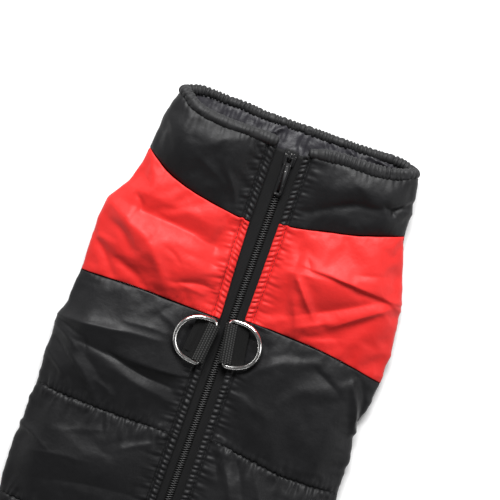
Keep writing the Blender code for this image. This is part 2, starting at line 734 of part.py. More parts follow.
def ring_height(side):
    """Height of the ring's bar: the webbing passes under it, on the cloth."""
    frame = ring_frame(side)
    highest = 0.0
    for outward in (-2.0, 0.0, 2.0):
        for along in (-12.0, 0.0, 12.0):
            spot = frame @ Vector((outward * MM, along * MM, 0.0))
            highest = max(highest, cloth_height(spot.x / MM, ZIP_TOP_Y - spot.y / MM))
    return highest + SEAM_GAP + WEBBING_THICKNESS + WEBBING_ROUND_BAR


def build_ring(side, material, collection):
    """A leash ring: a straight bar and a bow, lying outwards from the zip."""
    frame = ring_frame(side) @ Matrix.Translation((0.0, 0.0, ring_height(side) * MM))
    hinge = bpy.data.objects.new("ring_hinge_" + SIDE_NAMES[side], None)
    hinge.location = frame.translation
    collection.objects.link(hinge)
    lift = Matrix.Rotation(-math.radians(RING_LIFT), 4, "Y")
    straight = RING_HALF_BAR - RING_CORNER
    points = [Vector((0.0, straight * share, 0.0)) for share in (0.5, 0.0, -0.5)]
    for i in range(RING_CORNER_STEPS + 1):
        angle = math.pi / 2 * i / RING_CORNER_STEPS
        turn_x = RING_CORNER * (1 - math.cos(angle))
        points.append(Vector((turn_x, -straight - RING_CORNER * math.sin(angle), 0.0)))
    for i in range(1, RING_STEPS):
        angle = math.pi * (i / RING_STEPS - 0.5)
        bow = RING_CORNER + (RING_DEPTH - RING_CORNER) * math.cos(angle) ** RING_BOW_POWER
        points.append(Vector((bow, RING_HALF_BAR * math.sin(angle), 0.0)))
    for i in range(RING_CORNER_STEPS + 1):
        angle = math.pi / 2 * (1 - i / RING_CORNER_STEPS)
        turn_x = RING_CORNER * (1 - math.cos(angle))
        points.append(Vector((turn_x, straight + RING_CORNER * math.sin(angle), 0.0)))
    world = [frame @ (lift @ (p * MM)) for p in points]
    local = [p - frame.translation for p in world]
    radii = [1.0] * len(local)
    ring = wire_object("ring_" + SIDE_NAMES[side], local, radii, RING_WIRE, True, material, collection)
    ring.parent = hinge
    return ring


def webbing_route(side):
    """Middle line of the webbing seen from its edge: outward distance and height over the bar."""
    wrap = WEBBING_ROUND_BAR + WEBBING_THICKNESS / 2
    route = [("lower", WEBBING_LEG), ("lower", 9.0), ("lower", 6.0), ("lower", 3.5)]
    for i in range(9):
        angle = -math.pi / 2 - math.pi * i / 8
        route.append((wrap * math.cos(angle), wrap * math.sin(angle)))
    route += [(2.4, 1.75), (4.6, 0.45), ("upper", 7.0), ("upper", 9.0), ("upper", WEBBING_LEG)]
    return route


def build_webbing(side, material, collection):
    """The webbing folded round the ring's bar, with both ends lying outwards on the cloth."""
    frame = ring_frame(side)
    bar = ring_height(side)
    route = webbing_route(side)
    rows = 4
    bm = wall_grid(len(route) - 1, rows)
    half = WEBBING_THICKNESS / 2

    def middle(i, along):
        first, second = route[i]
        if not isinstance(first, str):
            return Vector((first, bar + second))
        spot = frame @ Vector((second * MM, along * MM, 0.0))
        lie = cloth_height(spot.x / MM, ZIP_TOP_Y - spot.y / MM) + SEAM_GAP + half
        if first == "upper":
            lie += WEBBING_THICKNESS + SEAM_GAP
        return Vector((second, lie))

    for vert in bm.verts:
        i = round(vert.co.x)
        along = (vert.co.y / rows - 0.5) * WEBBING_WIDTH
        before = middle(max(i - 1, 0), along)
        after = middle(min(i + 1, len(route) - 1), along)
        run = (after - before).normalized()
        aside = Vector((-run.y, run.x)) * half * (1 if vert.co.z < 0.5 else -1)
        point = middle(i, along) + aside
        vert.co = frame @ (Vector((point.x, along, point.y)) * MM)
    return finish_object("ring_webbing_" + SIDE_NAMES[side], bm, material, collection)


def main():
    for item in list(bpy.data.objects):
        bpy.data.objects.remove(item)
    vest = new_collection("dog_winter_vest")
    cutters = new_collection("cutters")

    collar_cloth = new_material("collar_nylon", BLACK, 0.45)
    yoke_cloth = new_material("yoke_nylon", RED, 0.42)
    body_cloth = new_material("body_nylon", BLACK, 0.45)
    belly_cloth = new_material("belly_nylon", BLACK, 0.5)
    lining_cloth = new_material("lining_taffeta", LINING_GREY, 0.5)
    trim_cloth = new_material("neck_trim", BLACK, 0.6)
    tape_weave = new_material("zip_tape", BLACK, 0.85)
    coil = new_material("zip_coil", BLACK, 0.4)
    slider_metal = new_material("slider_enamel", BLACK, 0.35, 0.6)
    webbing = new_material("webbing", BLACK, 0.8)
    ring_metal = new_material("ring_nickel", CHROME, 0.15, 1.0)

    for side in (LEFT, RIGHT):
        name = SIDE_NAMES[side]
        build_panel("collar_" + name, ("neck", "collar"), side, collar_cloth, vest)
        build_panel("yoke_" + name, ("collar", "yoke"), side, yoke_cloth, vest)
        build_panel("body_" + name, ("yoke", "quilt", "lower", "hem"), side, body_cloth, vest)
        build_webbing(side, webbing, vest)
        build_ring(side, ring_metal, vest)
    build_belly(belly_cloth, vest, cutters)
    build_lining(lining_cloth, vest)
    build_neck_binding(trim_cloth, vest)
    build_zip(tape_weave, coil, vest)
    build_slider(slider_metal, vest, cutters)
    build_tab(slider_metal, vest, cutters)
    for guide in cutters.objects:
        guide.hide_render = True
        guide.display_type = "WIRE"


main()
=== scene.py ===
# %% [markdown]
# # A dog's padded winter vest
# This lesson dresses a plain CAD model of a dog's vest, which lies flat on its belly with the
# back zip upwards. The CAD solids give every place and size. Here each panel becomes thin
# padded cloth with creases and puckers, and the zip, rings and webbing get their fine form.
# The first cell loads the solids. Lengths below are in millimetres, as on the vest's pattern,
# and turn into metres when a mesh is laid out.

import math
from collections import namedtuple

import bmesh
import bpy
import numpy as np
from mathutils import Matrix, Vector


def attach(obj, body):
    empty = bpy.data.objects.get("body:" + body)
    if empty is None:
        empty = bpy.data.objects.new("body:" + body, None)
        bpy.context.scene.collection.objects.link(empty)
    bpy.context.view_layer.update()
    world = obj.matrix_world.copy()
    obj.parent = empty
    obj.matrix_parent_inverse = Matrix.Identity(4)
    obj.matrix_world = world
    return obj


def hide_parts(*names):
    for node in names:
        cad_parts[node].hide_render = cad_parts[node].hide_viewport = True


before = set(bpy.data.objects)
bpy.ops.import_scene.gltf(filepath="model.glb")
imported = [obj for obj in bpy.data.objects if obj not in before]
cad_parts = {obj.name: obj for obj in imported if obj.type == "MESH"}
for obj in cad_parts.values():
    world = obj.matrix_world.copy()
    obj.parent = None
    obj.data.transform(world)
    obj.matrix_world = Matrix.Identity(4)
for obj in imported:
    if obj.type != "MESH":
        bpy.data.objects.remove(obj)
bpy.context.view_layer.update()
scene = bpy.context.scene
MM = 0.001
LEFT = -1
RIGHT = 1
SIDE_NAMES = {LEFT: "left", RIGHT: "right"}
print("nodes:", sorted(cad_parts))

# %% [markdown]
# ## Camera
# The vest was photographed from almost straight above. The camera leans a few degrees towards
# the collar, so that it looks a little way into the neck, and it is rolled, so that the zip
# slants across the picture. A long lens keeps both sides of the vest at one scale. Its matrix
# is built from the three directions of the view, which is plainer than finding three angles.

# %% Camera
PICTURE_WIDTH = 300.0        # millimetres across the picture at the vest's back
CAMERA_DISTANCE = 1000.0
CAMERA_TILT = math.radians(7.0)
CAMERA_ROLL = math.radians(19.47)
LOOK_AT = Vector((-4.0, 94.5, 15.0))
SENSOR_WIDTH = 36.0

lens = bpy.data.cameras.new("camera")
lens.sensor_width = SENSOR_WIDTH
lens.lens = SENSOR_WIDTH * CAMERA_DISTANCE / PICTURE_WIDTH
lens.clip_start = 0.01
camera = bpy.data.objects.new("camera", lens)
scene.collection.objects.link(camera)
backwards = Vector((0.0, math.sin(CAMERA_TILT), math.cos(CAMERA_TILT)))
picture_up = Vector((-math.sin(CAMERA_ROLL), math.cos(CAMERA_ROLL), 0.0))
picture_right = picture_up.cross(backwards).normalized()
picture_up = backwards.cross(picture_right)
turn = Matrix((picture_right, picture_up, backwards)).transposed().to_4x4()
camera.matrix_world = Matrix.Translation((LOOK_AT + backwards * CAMERA_DISTANCE) * MM) @ turn
scene.camera = camera
print("lens", round(lens.lens), "mm")

# %% [markdown]
# ## Light
# One large lamp beyond the collar gives each crease a light and a dark slope, and a pale
# world fills the shade, as white walls do in a small studio. A weak lamp on the right and
# three narrow strips low round the vest lift the slopes that the large lamp doesn't reach.

# %% Light
Lamp = namedtuple("Lamp", "name place aim_y size power")
LAMPS = (
    Lamp("key_lamp", (-0.2, 1.25, 1.05), 0.05, (1.0, 0.6), 50.0),
    Lamp("side_lamp", (1.2, 0.1, 0.9), 0.05, (0.5, 0.9), 3.0),
    Lamp("left_strip", (-1.1, -0.1, 0.55), 0.03, (1.3, 0.16), 1.6),
    Lamp("right_strip", (1.1, -0.1, 0.55), 0.03, (1.3, 0.16), 1.6),
    Lamp("front_strip", (0.0, -1.2, 0.6), 0.03, (1.3, 0.14), 0.9),
)
WALL_LIGHT = 0.10


def add_lamp(lamp):
    """A rectangular lamp that shines at a place on the vest's middle line; sizes in metres."""
    light = bpy.data.lights.new(lamp.name, "AREA")
    light.shape = "RECTANGLE"
    light.size, light.size_y = lamp.size
    light.energy = lamp.power
    holder = bpy.data.objects.new(lamp.name, light)
    holder.location = lamp.place
    away = Vector(lamp.place) - Vector((0.0, lamp.aim_y, 0.0))
    holder.rotation_euler = away.to_track_quat("Z", "Y").to_euler()
    scene.collection.objects.link(holder)


for lamp in LAMPS:
    add_lamp(lamp)
world = bpy.data.worlds.new("studio")
scene.world = world
world.use_nodes = True
background = world.node_tree.nodes["Background"]
background.inputs["Color"].default_value = (1.0, 1.0, 1.0, 1.0)
background.inputs["Strength"].default_value = WALL_LIGHT
scene.view_settings.view_transform = "Standard"
print(len(LAMPS), "lamps")

# %% [markdown]
# ## Finishes
# Every finish is a Principled shader. Effects that several finishes share are node groups:
# `small_variation` lightens and darkens a surface in soft patches, and `taffeta` gives the
# height of a fine plain weave. Groups give out only masks and heights, and the shader itself
# stays in the material.

# %% Node helpers
def new_group(name, inputs, outputs):
    """An empty node group with named sockets, and the nodes at its two ends."""
    group = bpy.data.node_groups.new(name, "ShaderNodeTree")
    for label, kind, value in inputs:
        socket = group.interface.new_socket(label, in_out="INPUT", socket_type=kind)
        if value is not None:
            socket.default_value = value
    for label, kind in outputs:
        group.interface.new_socket(label, in_out="OUTPUT", socket_type=kind)
    start = group.nodes.new("NodeGroupInput")
    end = group.nodes.new("NodeGroupOutput")
    return group, start, end


def add_node(tree, kind, **settings):
    node = tree.nodes.new(kind)
    for key, value in settings.items():
        setattr(node, key, value)
    return node


def math_node(tree, operation, first, second=None):
    """One sum; first and second are sockets or plain numbers."""
    node = add_node(tree, "ShaderNodeMath", operation=operation)
    for socket, value in zip(node.inputs, (first, second)):
        if value is None:
            continue
        if isinstance(value, bpy.types.NodeSocket):
            tree.links.new(value, socket)
        else:
            socket.default_value = value
    return node.outputs[0]


# %% Node groups
def make_variation():
    """A soft mask from 0 to 1, with patches of the given size."""
    group, start, end = new_group(
        "small_variation",
        [("Vector", "NodeSocketVector", None), ("Patches", "NodeSocketFloat", 60.0)],
        [("Mask", "NodeSocketFloat")],
    )
    noise = add_node(group, "ShaderNodeTexNoise", noise_dimensions="3D")
    noise.inputs["Detail"].default_value = 4.0
    noise.inputs["Roughness"].default_value = 0.55
    group.links.new(start.outputs["Vector"], noise.inputs["Vector"])
    group.links.new(start.outputs["Patches"], noise.inputs["Scale"])
    spread = add_node(group, "ShaderNodeMapRange")
    spread.inputs["From Min"].default_value = 0.3
    spread.inputs["From Max"].default_value = 0.7
    group.links.new(noise.outputs["Fac"], spread.inputs["Value"])
    group.links.new(spread.outputs["Result"], end.inputs["Mask"])
    return group


def make_taffeta():
    """The height of a plain weave: threads along one way, then along the other."""
    group, start, end = new_group(
        "taffeta",
        [("Vector", "NodeSocketVector", None), ("Threads", "NodeSocketFloat", 3000.0)],
        [("Height", "NodeSocketFloat")],
    )
    split = add_node(group, "ShaderNodeSeparateXYZ")
    group.links.new(start.outputs["Vector"], split.inputs["Vector"])
    waves = []
    for axis in ("X", "Y"):
        turns = math_node(group, "MULTIPLY", split.outputs[axis], start.outputs["Threads"])
        waves.append(math_node(group, "SINE", turns))
    product = math_node(group, "MULTIPLY", waves[0], waves[1])
    group.links.new(product, end.inputs["Height"])
    return group


variation_group = make_variation()
taffeta_group = make_taffeta()
print("node groups:", variation_group.name, taffeta_group.name)


def add_group(tree, group, vector, **values):
    """A group placed in a tree with its own values; gives its one output."""
    node = add_node(tree, "ShaderNodeGroup", node_tree=group)
    tree.links.new(vector, node.inputs["Vector"])
    for key, value in values.items():
        node.inputs[key].default_value = value
    return node.outputs[0]


def blend_colour(tree, mask, dark, light):
    """From the dark colour where the mask is 0 to the light one where it is 1."""
    node = add_node(tree, "ShaderNodeMix", data_type="RGBA")
    tree.links.new(mask, node.inputs["Factor"])
    node.inputs["A"].default_value = (*dark, 1.0)
    node.inputs["B"].default_value = (*light, 1.0)
    return node.outputs["Result"]


def map_range(tree, value, low, high, from_low=0.0, from_high=1.0):
    node = add_node(tree, "ShaderNodeMapRange")
    tree.links.new(value, node.inputs["Value"])
    node.inputs["From Min"].default_value = from_low
    node.inputs["From Max"].default_value = from_high
    node.inputs["To Min"].default_value = low
    node.inputs["To Max"].default_value = high
    return node.outputs["Result"]


def add_bump(tree, height, distance, below=None):
    """A bump of a height in metres, on top of another one if it is given."""
    node = add_node(tree, "ShaderNodeBump")
    node.inputs["Distance"].default_value = distance
    node.inputs["Strength"].default_value = 1.0
    tree.links.new(height, node.inputs["Height"])
    if below is not None:
        tree.links.new(below, node.inputs["Normal"])
    return node.outputs["Normal"]


def new_finish(name):
    """An empty material, with its tree, its shader and a node of coordinates."""
    material = bpy.data.materials.new(name)
    material.use_nodes = True
    tree = material.node_tree
    shader = tree.nodes["Principled BSDF"]
    place = add_node(tree, "ShaderNodeTexCoord")
    return material, tree, shader, place


# %% [markdown]
# ## Nylon taffeta
# The shell is thin, tightly woven nylon. It has a satin shine, so its roughness is about the
# middle of the range, and a fine crumple that comes from being packed and washed. The crumple
# is a bump of two sizes on the cloth's own coordinates. Black and red use one function.

# %% Cloth finishes
WEAVE_THREADS = 30000.0
WEAVE_HEIGHT = 0.000003
SHELL_ROUGHNESS = 0.52
SHELL_CRUMPLE = 0.00014      # in metres, as every bump height is
SOFT_CRUMPLE = 0.0002


def taffeta_finish(name, dark, light, roughness, crumple):
    """Thin woven nylon: two sizes of patches, a crumple and the weave."""
    material, tree, shader, place = new_finish(name)
    vector = place.outputs["Object"]
    patches = add_group(tree, variation_group, vector, Patches=35.0)
    tree.links.new(blend_colour(tree, patches, dark, light), shader.inputs["Base Color"])
    worn = add_group(tree, variation_group, vector, Patches=240.0)
    shine = map_range(tree, worn, roughness - 0.05, roughness + 0.06)
    tree.links.new(shine, shader.inputs["Roughness"])
    shader.inputs["Specular IOR Level"].default_value = 0.25
    shader.inputs["Sheen Weight"].default_value = 0.03
    shader.inputs["Sheen Roughness"].default_value = 0.4
    fine = add_node(tree, "ShaderNodeTexNoise")
    fine.inputs["Scale"].default_value = 420.0
    fine.inputs["Detail"].default_value = 3.0
    tree.links.new(vector, fine.inputs["Vector"])
    first = add_bump(tree, fine.outputs["Fac"], crumple)
    weave = add_group(tree, taffeta_group, place.outputs["UV"], Threads=WEAVE_THREADS)
    tree.links.new(add_bump(tree, weave, WEAVE_HEIGHT, first), shader.inputs["Normal"])
    return material


BLACK_DARK, BLACK_LIGHT = (0.0052, 0.0052, 0.0058), (0.0080, 0.0080, 0.0088)
RED_DARK, RED_LIGHT = (0.575, 0.0165, 0.0145), (0.64, 0.0225, 0.02)
GREY_DARK, GREY_LIGHT = (0.012, 0.0115, 0.014), (0.022, 0.021, 0.026)
black_nylon = taffeta_finish("black_taffeta", BLACK_DARK, BLACK_LIGHT, SHELL_ROUGHNESS, SHELL_CRUMPLE)
red_nylon = taffeta_finish("red_taffeta", RED_DARK, RED_LIGHT, SHELL_ROUGHNESS, SHELL_CRUMPLE)
belly_nylon = taffeta_finish("belly_taffeta", BLACK_DARK, BLACK_LIGHT, 0.54, SOFT_CRUMPLE)
grey_lining = taffeta_finish("grey_lining", GREY_DARK, GREY_LIGHT, 0.46, SOFT_CRUMPLE)
print("cloth finishes:", black_nylon.name, red_nylon.name, belly_nylon.name, grey_lining.name)

# %% [markdown]
# ## Thread, trim, coil and plate
# The casing's cloth, the sewing thread, the zip's coil and the rings' nickel are each one even
# material that is a little lighter and smoother in patches. One function makes them all, and
# only the casing's cloth has a bump. The rings' gloss comes from a low roughness.

# %% Even finishes
def plain_finish(name, dark, light, roughness, metallic=0.0, bump=0.0):
    """One even material, in soft patches of two shades."""
    material, tree, shader, place = new_finish(name)
    vector = place.outputs["Object"]
    mask = add_group(tree, variation_group, vector, Patches=300.0)
    tree.links.new(blend_colour(tree, mask, dark, light), shader.inputs["Base Color"])
    shine = map_range(tree, mask, roughness + 0.05, roughness - 0.05)
    tree.links.new(shine, shader.inputs["Roughness"])
    shader.inputs["Metallic"].default_value = metallic
    if bump:
        tree.links.new(add_bump(tree, mask, bump), shader.inputs["Normal"])
    shader.inputs["Specular IOR Level"].default_value = 0.4
    return material


trim_cloth = plain_finish("casing_cloth", (0.0060, 0.0060, 0.0064), (0.010, 0.010, 0.011), 0.62, bump=0.0001)
thread = plain_finish("sewing_thread", (0.004, 0.004, 0.004), (0.008, 0.008, 0.009), 0.7)
red_thread = plain_finish("red_thread", (0.10, 0.004, 0.004), (0.18, 0.006, 0.006), 0.7)
coil_nylon = plain_finish("coil_nylon", (0.005, 0.005, 0.005), (0.010, 0.010, 0.010), 0.45)
ring_plate = plain_finish("ring_nickel", (0.90, 0.89, 0.87), (0.96, 0.95, 0.93), 0.18, metallic=1.0)
print("even finishes:", trim_cloth.name, thread.name, red_thread.name, coil_nylon.name, ring_plate.name)

# %% [markdown]
# ## Woven tape and webbing
# The zip's tapes and the rings' webbing are woven so coarsely that their ribs show. The ribs
# are sine waves on the piece's own UV map, which holds lengths in metres, and a second wave
# bends them into a zigzag. The tape's colour is painted lighter on the rib crests and darker in
# the dips, a painted highlight and painted shade. The webbing's pale spots are a painted
# highlight on each knot, from a mask that its mesh carries, so that they sit on the highest
# points of the ribs that are modelled.

# %% Woven finishes
ZIGZAG = 1.4


def woven_finish(name, dark, light, ribs_across, ribs_along, depth, knot_highlight=None):
    """Woven ribs on the UV map, with painted highlight on crests or knot tops and painted shade in dips."""
    material, tree, shader, place = new_finish(name)
    split = add_node(tree, "ShaderNodeSeparateXYZ")
    tree.links.new(place.outputs["UV"], split.inputs["Vector"])
    turns_u = math_node(tree, "MULTIPLY", split.outputs["X"], 2 * math.pi / ribs_across)
    turns_v = math_node(tree, "MULTIPLY", split.outputs["Y"], 2 * math.pi / ribs_along)
    zigzag = math_node(tree, "MULTIPLY", math_node(tree, "SINE", turns_u), ZIGZAG)
    wave = math_node(tree, "SINE", math_node(tree, "ADD", turns_v, zigzag))
    height = math_node(tree, "MULTIPLY_ADD", wave, 0.5)
    height.node.inputs[2].default_value = 0.5
    # The colour follows the ribs' height: painted highlight on the crests, painted shade in the dips; with a
    # knot colour, a painted highlight where the mesh's mask marks a knot top.
    mask, pale = height, light
    if knot_highlight:
        mask = add_node(tree, "ShaderNodeAttribute", attribute_name="mask").outputs["Fac"]
        pale = knot_highlight
    tree.links.new(blend_colour(tree, mask, dark, pale), shader.inputs["Base Color"])
    shader.inputs["Roughness"].default_value = 0.7
    shader.inputs["Specular IOR Level"].default_value = 0.2
    tree.links.new(add_bump(tree, height, depth), shader.inputs["Normal"])
    return material


# The tape's dip colour is painted shade and its rib colour a painted highlight.
TAPE_DIP_SHADE, TAPE_RIB_HIGHLIGHT = (0.003, 0.003, 0.003), (0.008, 0.008, 0.0085)
# The knot colour is a painted highlight on the highest points of the webbing's weave.
STRAP_DARK, STRAP_LIGHT, STRAP_KNOT_HIGHLIGHT = (0.003, 0.003, 0.003), (0.006, 0.006, 0.006), (0.05, 0.05, 0.049)
tape_weave = woven_finish("tape_weave", TAPE_DIP_SHADE, TAPE_RIB_HIGHLIGHT, 0.0012, 0.0008, 0.00006)
strap_weave = woven_finish("strap_weave", STRAP_DARK, STRAP_LIGHT, 0.0005, 0.0004, 0.00003, STRAP_KNOT_HIGHLIGHT)
print("woven finishes:", tape_weave.name, strap_weave.name)

# %% [markdown]
# ## Worn enamel
# The slider, its tab and the stop are cast metal under black enamel. The enamel has chipped in
# specks, so a fine mask picks few small places where the bare metal's colour shows.

# %% Enamel
def enamel_finish():
    """Black enamel, with specks of bright metal where it has worn off."""
    material, tree, shader, place = new_finish("worn_enamel")
    specks = add_group(tree, variation_group, place.outputs["Object"], Patches=900.0)
    worn = map_range(tree, specks, 0.0, 1.0, 0.90, 1.0)
    colour = blend_colour(tree, worn, (0.007, 0.007, 0.0075), (0.42, 0.41, 0.40))
    tree.links.new(colour, shader.inputs["Base Color"])
    tree.links.new(worn, shader.inputs["Metallic"])
    shader.inputs["Roughness"].default_value = 0.55
    shader.inputs["Specular IOR Level"].default_value = 0.2
    return material


worn_enamel = enamel_finish()
print("finishes:", len(bpy.data.materials))

# %% [markdown]
# ## The floor
# The vest lies on a plain pale sheet. It is wide enough to fill the picture from every side.

# %% Floor
FLOOR_SIZE = 6.0             # metres

bpy.ops.mesh.primitive_plane_add(size=FLOOR_SIZE, location=(0.0, 0.0, 0.0))
floor = bpy.context.object
floor.name = "floor"
paper = bpy.data.materials.new("white_paper")
paper.use_nodes = True
paper_shader = paper.node_tree.nodes["Principled BSDF"]
paper_shader.inputs["Base Color"].default_value = (0.93, 0.93, 0.93, 1.0)
paper_shader.inputs["Roughness"].default_value = 0.9
floor.data.materials.append(paper)

# %% [markdown]
# ## The vest's own coordinates
# A place on the cloth is its distance from the zip and its distance down from the top of the
# zip, as on a paper pattern. Two short tables, the same as in the CAD, turn that into a point:
# one gives the half width and the height of the vest, the other the seams that cross it.

# %% Girth and seam tables
LENGTH = 350.0
FAR_TRIM_RISE = 15.5         # from the zip's top to the far edge of the casing
ZIP_TOP_Y = LENGTH / 2 - FAR_TRIM_RISE
LOWER_QUILT = 259.0          # the second quilt seam runs straight across

Girth = namedtuple("Girth", "down left right crown seam")
GIRTHS = (
    Girth(-16.0, 73.5, 74.0, 21.0, 10.0),
    Girth(0.0, 77.4, 77.7, 20.5, 9.5),
    Girth(24.0, 80.6, 80.2, 18.5, 8.5),
    Girth(48.0, 85.6, 86.1, 16.8, 7.5),
    Girth(62.0, 93.0, 90.3, 16.2, 7.0),
    Girth(78.0, 96.0, 94.3, 16.0, 6.5),
    Girth(110.0, 96.9, 97.5, 15.0, 6.0),
    Girth(136.0, 98.2, 95.0, 15.0, 6.0),
    Girth(149.0, 98.8, 92.2, 15.0, 6.0),
    Girth(162.0, 100.0, 94.6, 15.0, 6.0),
    Girth(200.0, 100.4, 97.4, 15.0, 6.0),
    Girth(255.0, 101.0, 101.0, 14.5, 6.0),
    Girth(300.0, 99.0, 99.0, 12.0, 5.0),
    Girth(334.5, 96.0, 96.0, 6.5, 2.0),
)
Seam = namedtuple("Seam", "across neck_l neck_r collar_l collar_r yoke_l yoke_r quilt_l quilt_r hem")
SEAMS = (
    Seam(0.0, -0.5, 1.0, 48.9, 44.9, 111.2, 106.7, 187.8, 182.4, 334.5),
    Seam(0.2, -2.6, -2.8, 47.9, 42.8, 110.7, 106.8, 187.8, 183.7, 334.5),
    Seam(0.4, -2.6, -4.3, 45.5, 39.0, 110.1, 107.5, 187.7, 186.2, 333.5),
    Seam(0.6, -2.8, -4.3, 42.2, 35.7, 109.6, 108.9, 187.6, 188.9, 330.0),
    Seam(0.8, -5.0, -5.8, 36.5, 31.0, 110.2, 111.9, 187.0, 189.6, 321.0),
    Seam(1.0, -9.5, -9.5, 27.5, 26.6, 111.5, 116.2, 186.0, 189.7, 303.0),
)


def read_table(rows, key, column, at):
    """A column's values at places between the rows, on a smooth line through them."""
    places = np.array([getattr(row, key) for row in rows])
    values = np.array([getattr(row, column) for row in rows])
    low = np.maximum(np.arange(len(rows)) - 1, 0)
    high = np.minimum(np.arange(len(rows)) + 1, len(rows) - 1)
    slopes = (values[high] - values[low]) / (places[high] - places[low])
    at = np.clip(at, places[0], places[-1])
    i = np.clip(np.searchsorted(places, at) - 1, 0, len(rows) - 2)
    span = places[i + 1] - places[i]
    t = (at - places[i]) / span
    start, end = slopes[i] * span, slopes[i + 1] * span
    rise = values[i + 1] - values[i]
    return values[i] + start * t + (3 * rise - 2 * start - end) * t**2 + (start + end - 2 * rise) * t**3


def ramp(value, low, high):
    """A smooth rise from 0 at the low value to 1 at the high one."""
    t = np.clip((value - low) / (high - low), 0.0, 1.0)
    return t * t * (3 - 2 * t)


def half_width(side, down):
    """Distance from the zip's middle to the side seam."""
    return read_table(GIRTHS, "down", "left" if side == LEFT else "right", down)


def seam_line(name, side, across):
    """How far down a cross seam lies, at shares of the half width."""
    if name == "lower":
        return LOWER_QUILT + 0 * across
    column = name if name == "hem" else name + ("_l" if side == LEFT else "_r")
    return read_table(SEAMS, "across", column, across)


print("vest is", round(float(2 * half_width(LEFT, 110.0))), "mm wide at the yoke's seam")

# %% The two plain surfaces
SEAM_GAP = 0.3
SIDE_POWER = 5.0             # the upper layer's cross section is a flattened arch
ZIP_SAG = 2.5                # the weight of the zip makes the middle sink
ZIP_SAG_WIDTH = 25.0
BELLY_ROUND = 13.0           # width of the round turn from the ground up to the side seam


def upper_plain(side, distance, down):
    """The upper layer's outer face without its padding, as points in millimetres."""
    share = np.clip(distance / half_width(side, down), 0.0, 1.0)
    seam = read_table(GIRTHS, "down", "seam", down)
    crown = read_table(GIRTHS, "down", "crown", down)
    crown = crown - ZIP_SAG * np.exp(-((distance / ZIP_SAG_WIDTH) ** 2))
    height = seam + SEAM_GAP / 2 + (crown - seam) * np.sqrt(1 - share**SIDE_POWER)
    return np.stack([side * distance + 0 * down, ZIP_TOP_Y - down + 0 * distance, height], axis=-1)


def belly_plain(across, down):
    """The under layer's outer face: across runs from -1 at the left side seam to 1."""
    share = np.abs(across)
    width = np.where(across < 0, half_width(LEFT, down), half_width(RIGHT, down))
    seam = read_table(GIRTHS, "down", "seam", down) - SEAM_GAP / 2
    flat = width - BELLY_ROUND
    sine = np.clip((share * width - flat) / BELLY_ROUND, 0.0, 1.0)
    height = seam * (1 - np.sqrt(1 - sine**2))
    return np.stack([across * width, ZIP_TOP_Y - down + 0 * across, height], axis=-1)


print("crown at the yoke's seam", round(float(upper_plain(RIGHT, 40.0, 110.0)[2]), 1), "mm")

# %% [markdown]
# ## Grids
# Each piece of cloth is a grid. Its points are worked out as an array of rows and columns, and
# `create_grid` makes the mesh that takes them. The grid also gets a UV map that holds its
# size along and across in metres, like the flat cut, so that a weave follows the cloth.

# %% Grid helpers
MERGE_DISTANCE = 0.00001     # metres


def grid_mesh(name, rows, columns):
    """A mesh grid, with the row and column of each vertex."""
    bm = bmesh.new()
    bmesh.ops.create_grid(bm, x_segments=columns - 1, y_segments=rows - 1, size=0.5)
    mesh = bpy.data.meshes.new(name)
    bm.to_mesh(mesh)
    bm.free()
    place = np.empty(len(mesh.vertices) * 3)
    mesh.vertices.foreach_get("co", place)
    column = np.rint((place[0::3] + 0.5) * (columns - 1)).astype(int)
    row = np.rint((place[1::3] + 0.5) * (rows - 1)).astype(int)
    return mesh, row, column


def run_lengths(line):
    """Distance along a line of points, from its first point."""
    return np.concatenate([[0.0], np.cumsum(np.linalg.norm(np.diff(line, axis=0), axis=1))])


def points_along(line, places):
    """Points of a line at the given distances from its first point."""
    length = run_lengths(line)
    return np.stack([np.interp(places, length, line[:, k]) for k in range(3)], axis=-1)


def smooth_line(line, rounds):
    """Average each point with its neighbours, except at the two ends."""
    for _ in range(rounds):
        line[1:-1] = (line[:-2] + 2 * line[1:-1] + line[2:]) / 4


def unit(vectors):
    """The same vectors with a length of one."""
    return vectors / np.maximum(np.linalg.norm(vectors, axis=-1, keepdims=True), 1e-9)


def cell_normals(points):
    """A vector square to the cloth at each grid point; the rows' order decides its side."""
    return np.cross(np.gradient(points, axis=1), np.gradient(points, axis=0))


def face_normals(points, upwards):
    """Unit normals of a grid of points, all on the upper or all on the lower side."""
    normal = unit(cell_normals(points))
    return normal if (normal[..., 2].mean() > 0) == upwards else -normal


def facing(points, upwards):
    """The same grid with its rows turned round if its faces would point the wrong way."""
    return points if (cell_normals(points)[..., 2].mean() > 0) == upwards else points[::-1]


# %% Grid pieces
def new_piece(name, mesh, material):
    """A smooth object that holds a mesh and shows a material."""
    piece = bpy.data.objects.new(name, mesh)
    scene.collection.objects.link(piece)
    if material is not None:
        mesh.materials.append(material)
    mesh.shade_smooth()
    return piece


def piece_from(bm, name, material):
    """Turn a finished bmesh into an object."""
    mesh = bpy.data.meshes.new(name)
    bm.to_mesh(mesh)
    bm.free()
    return new_piece(name, mesh, material)


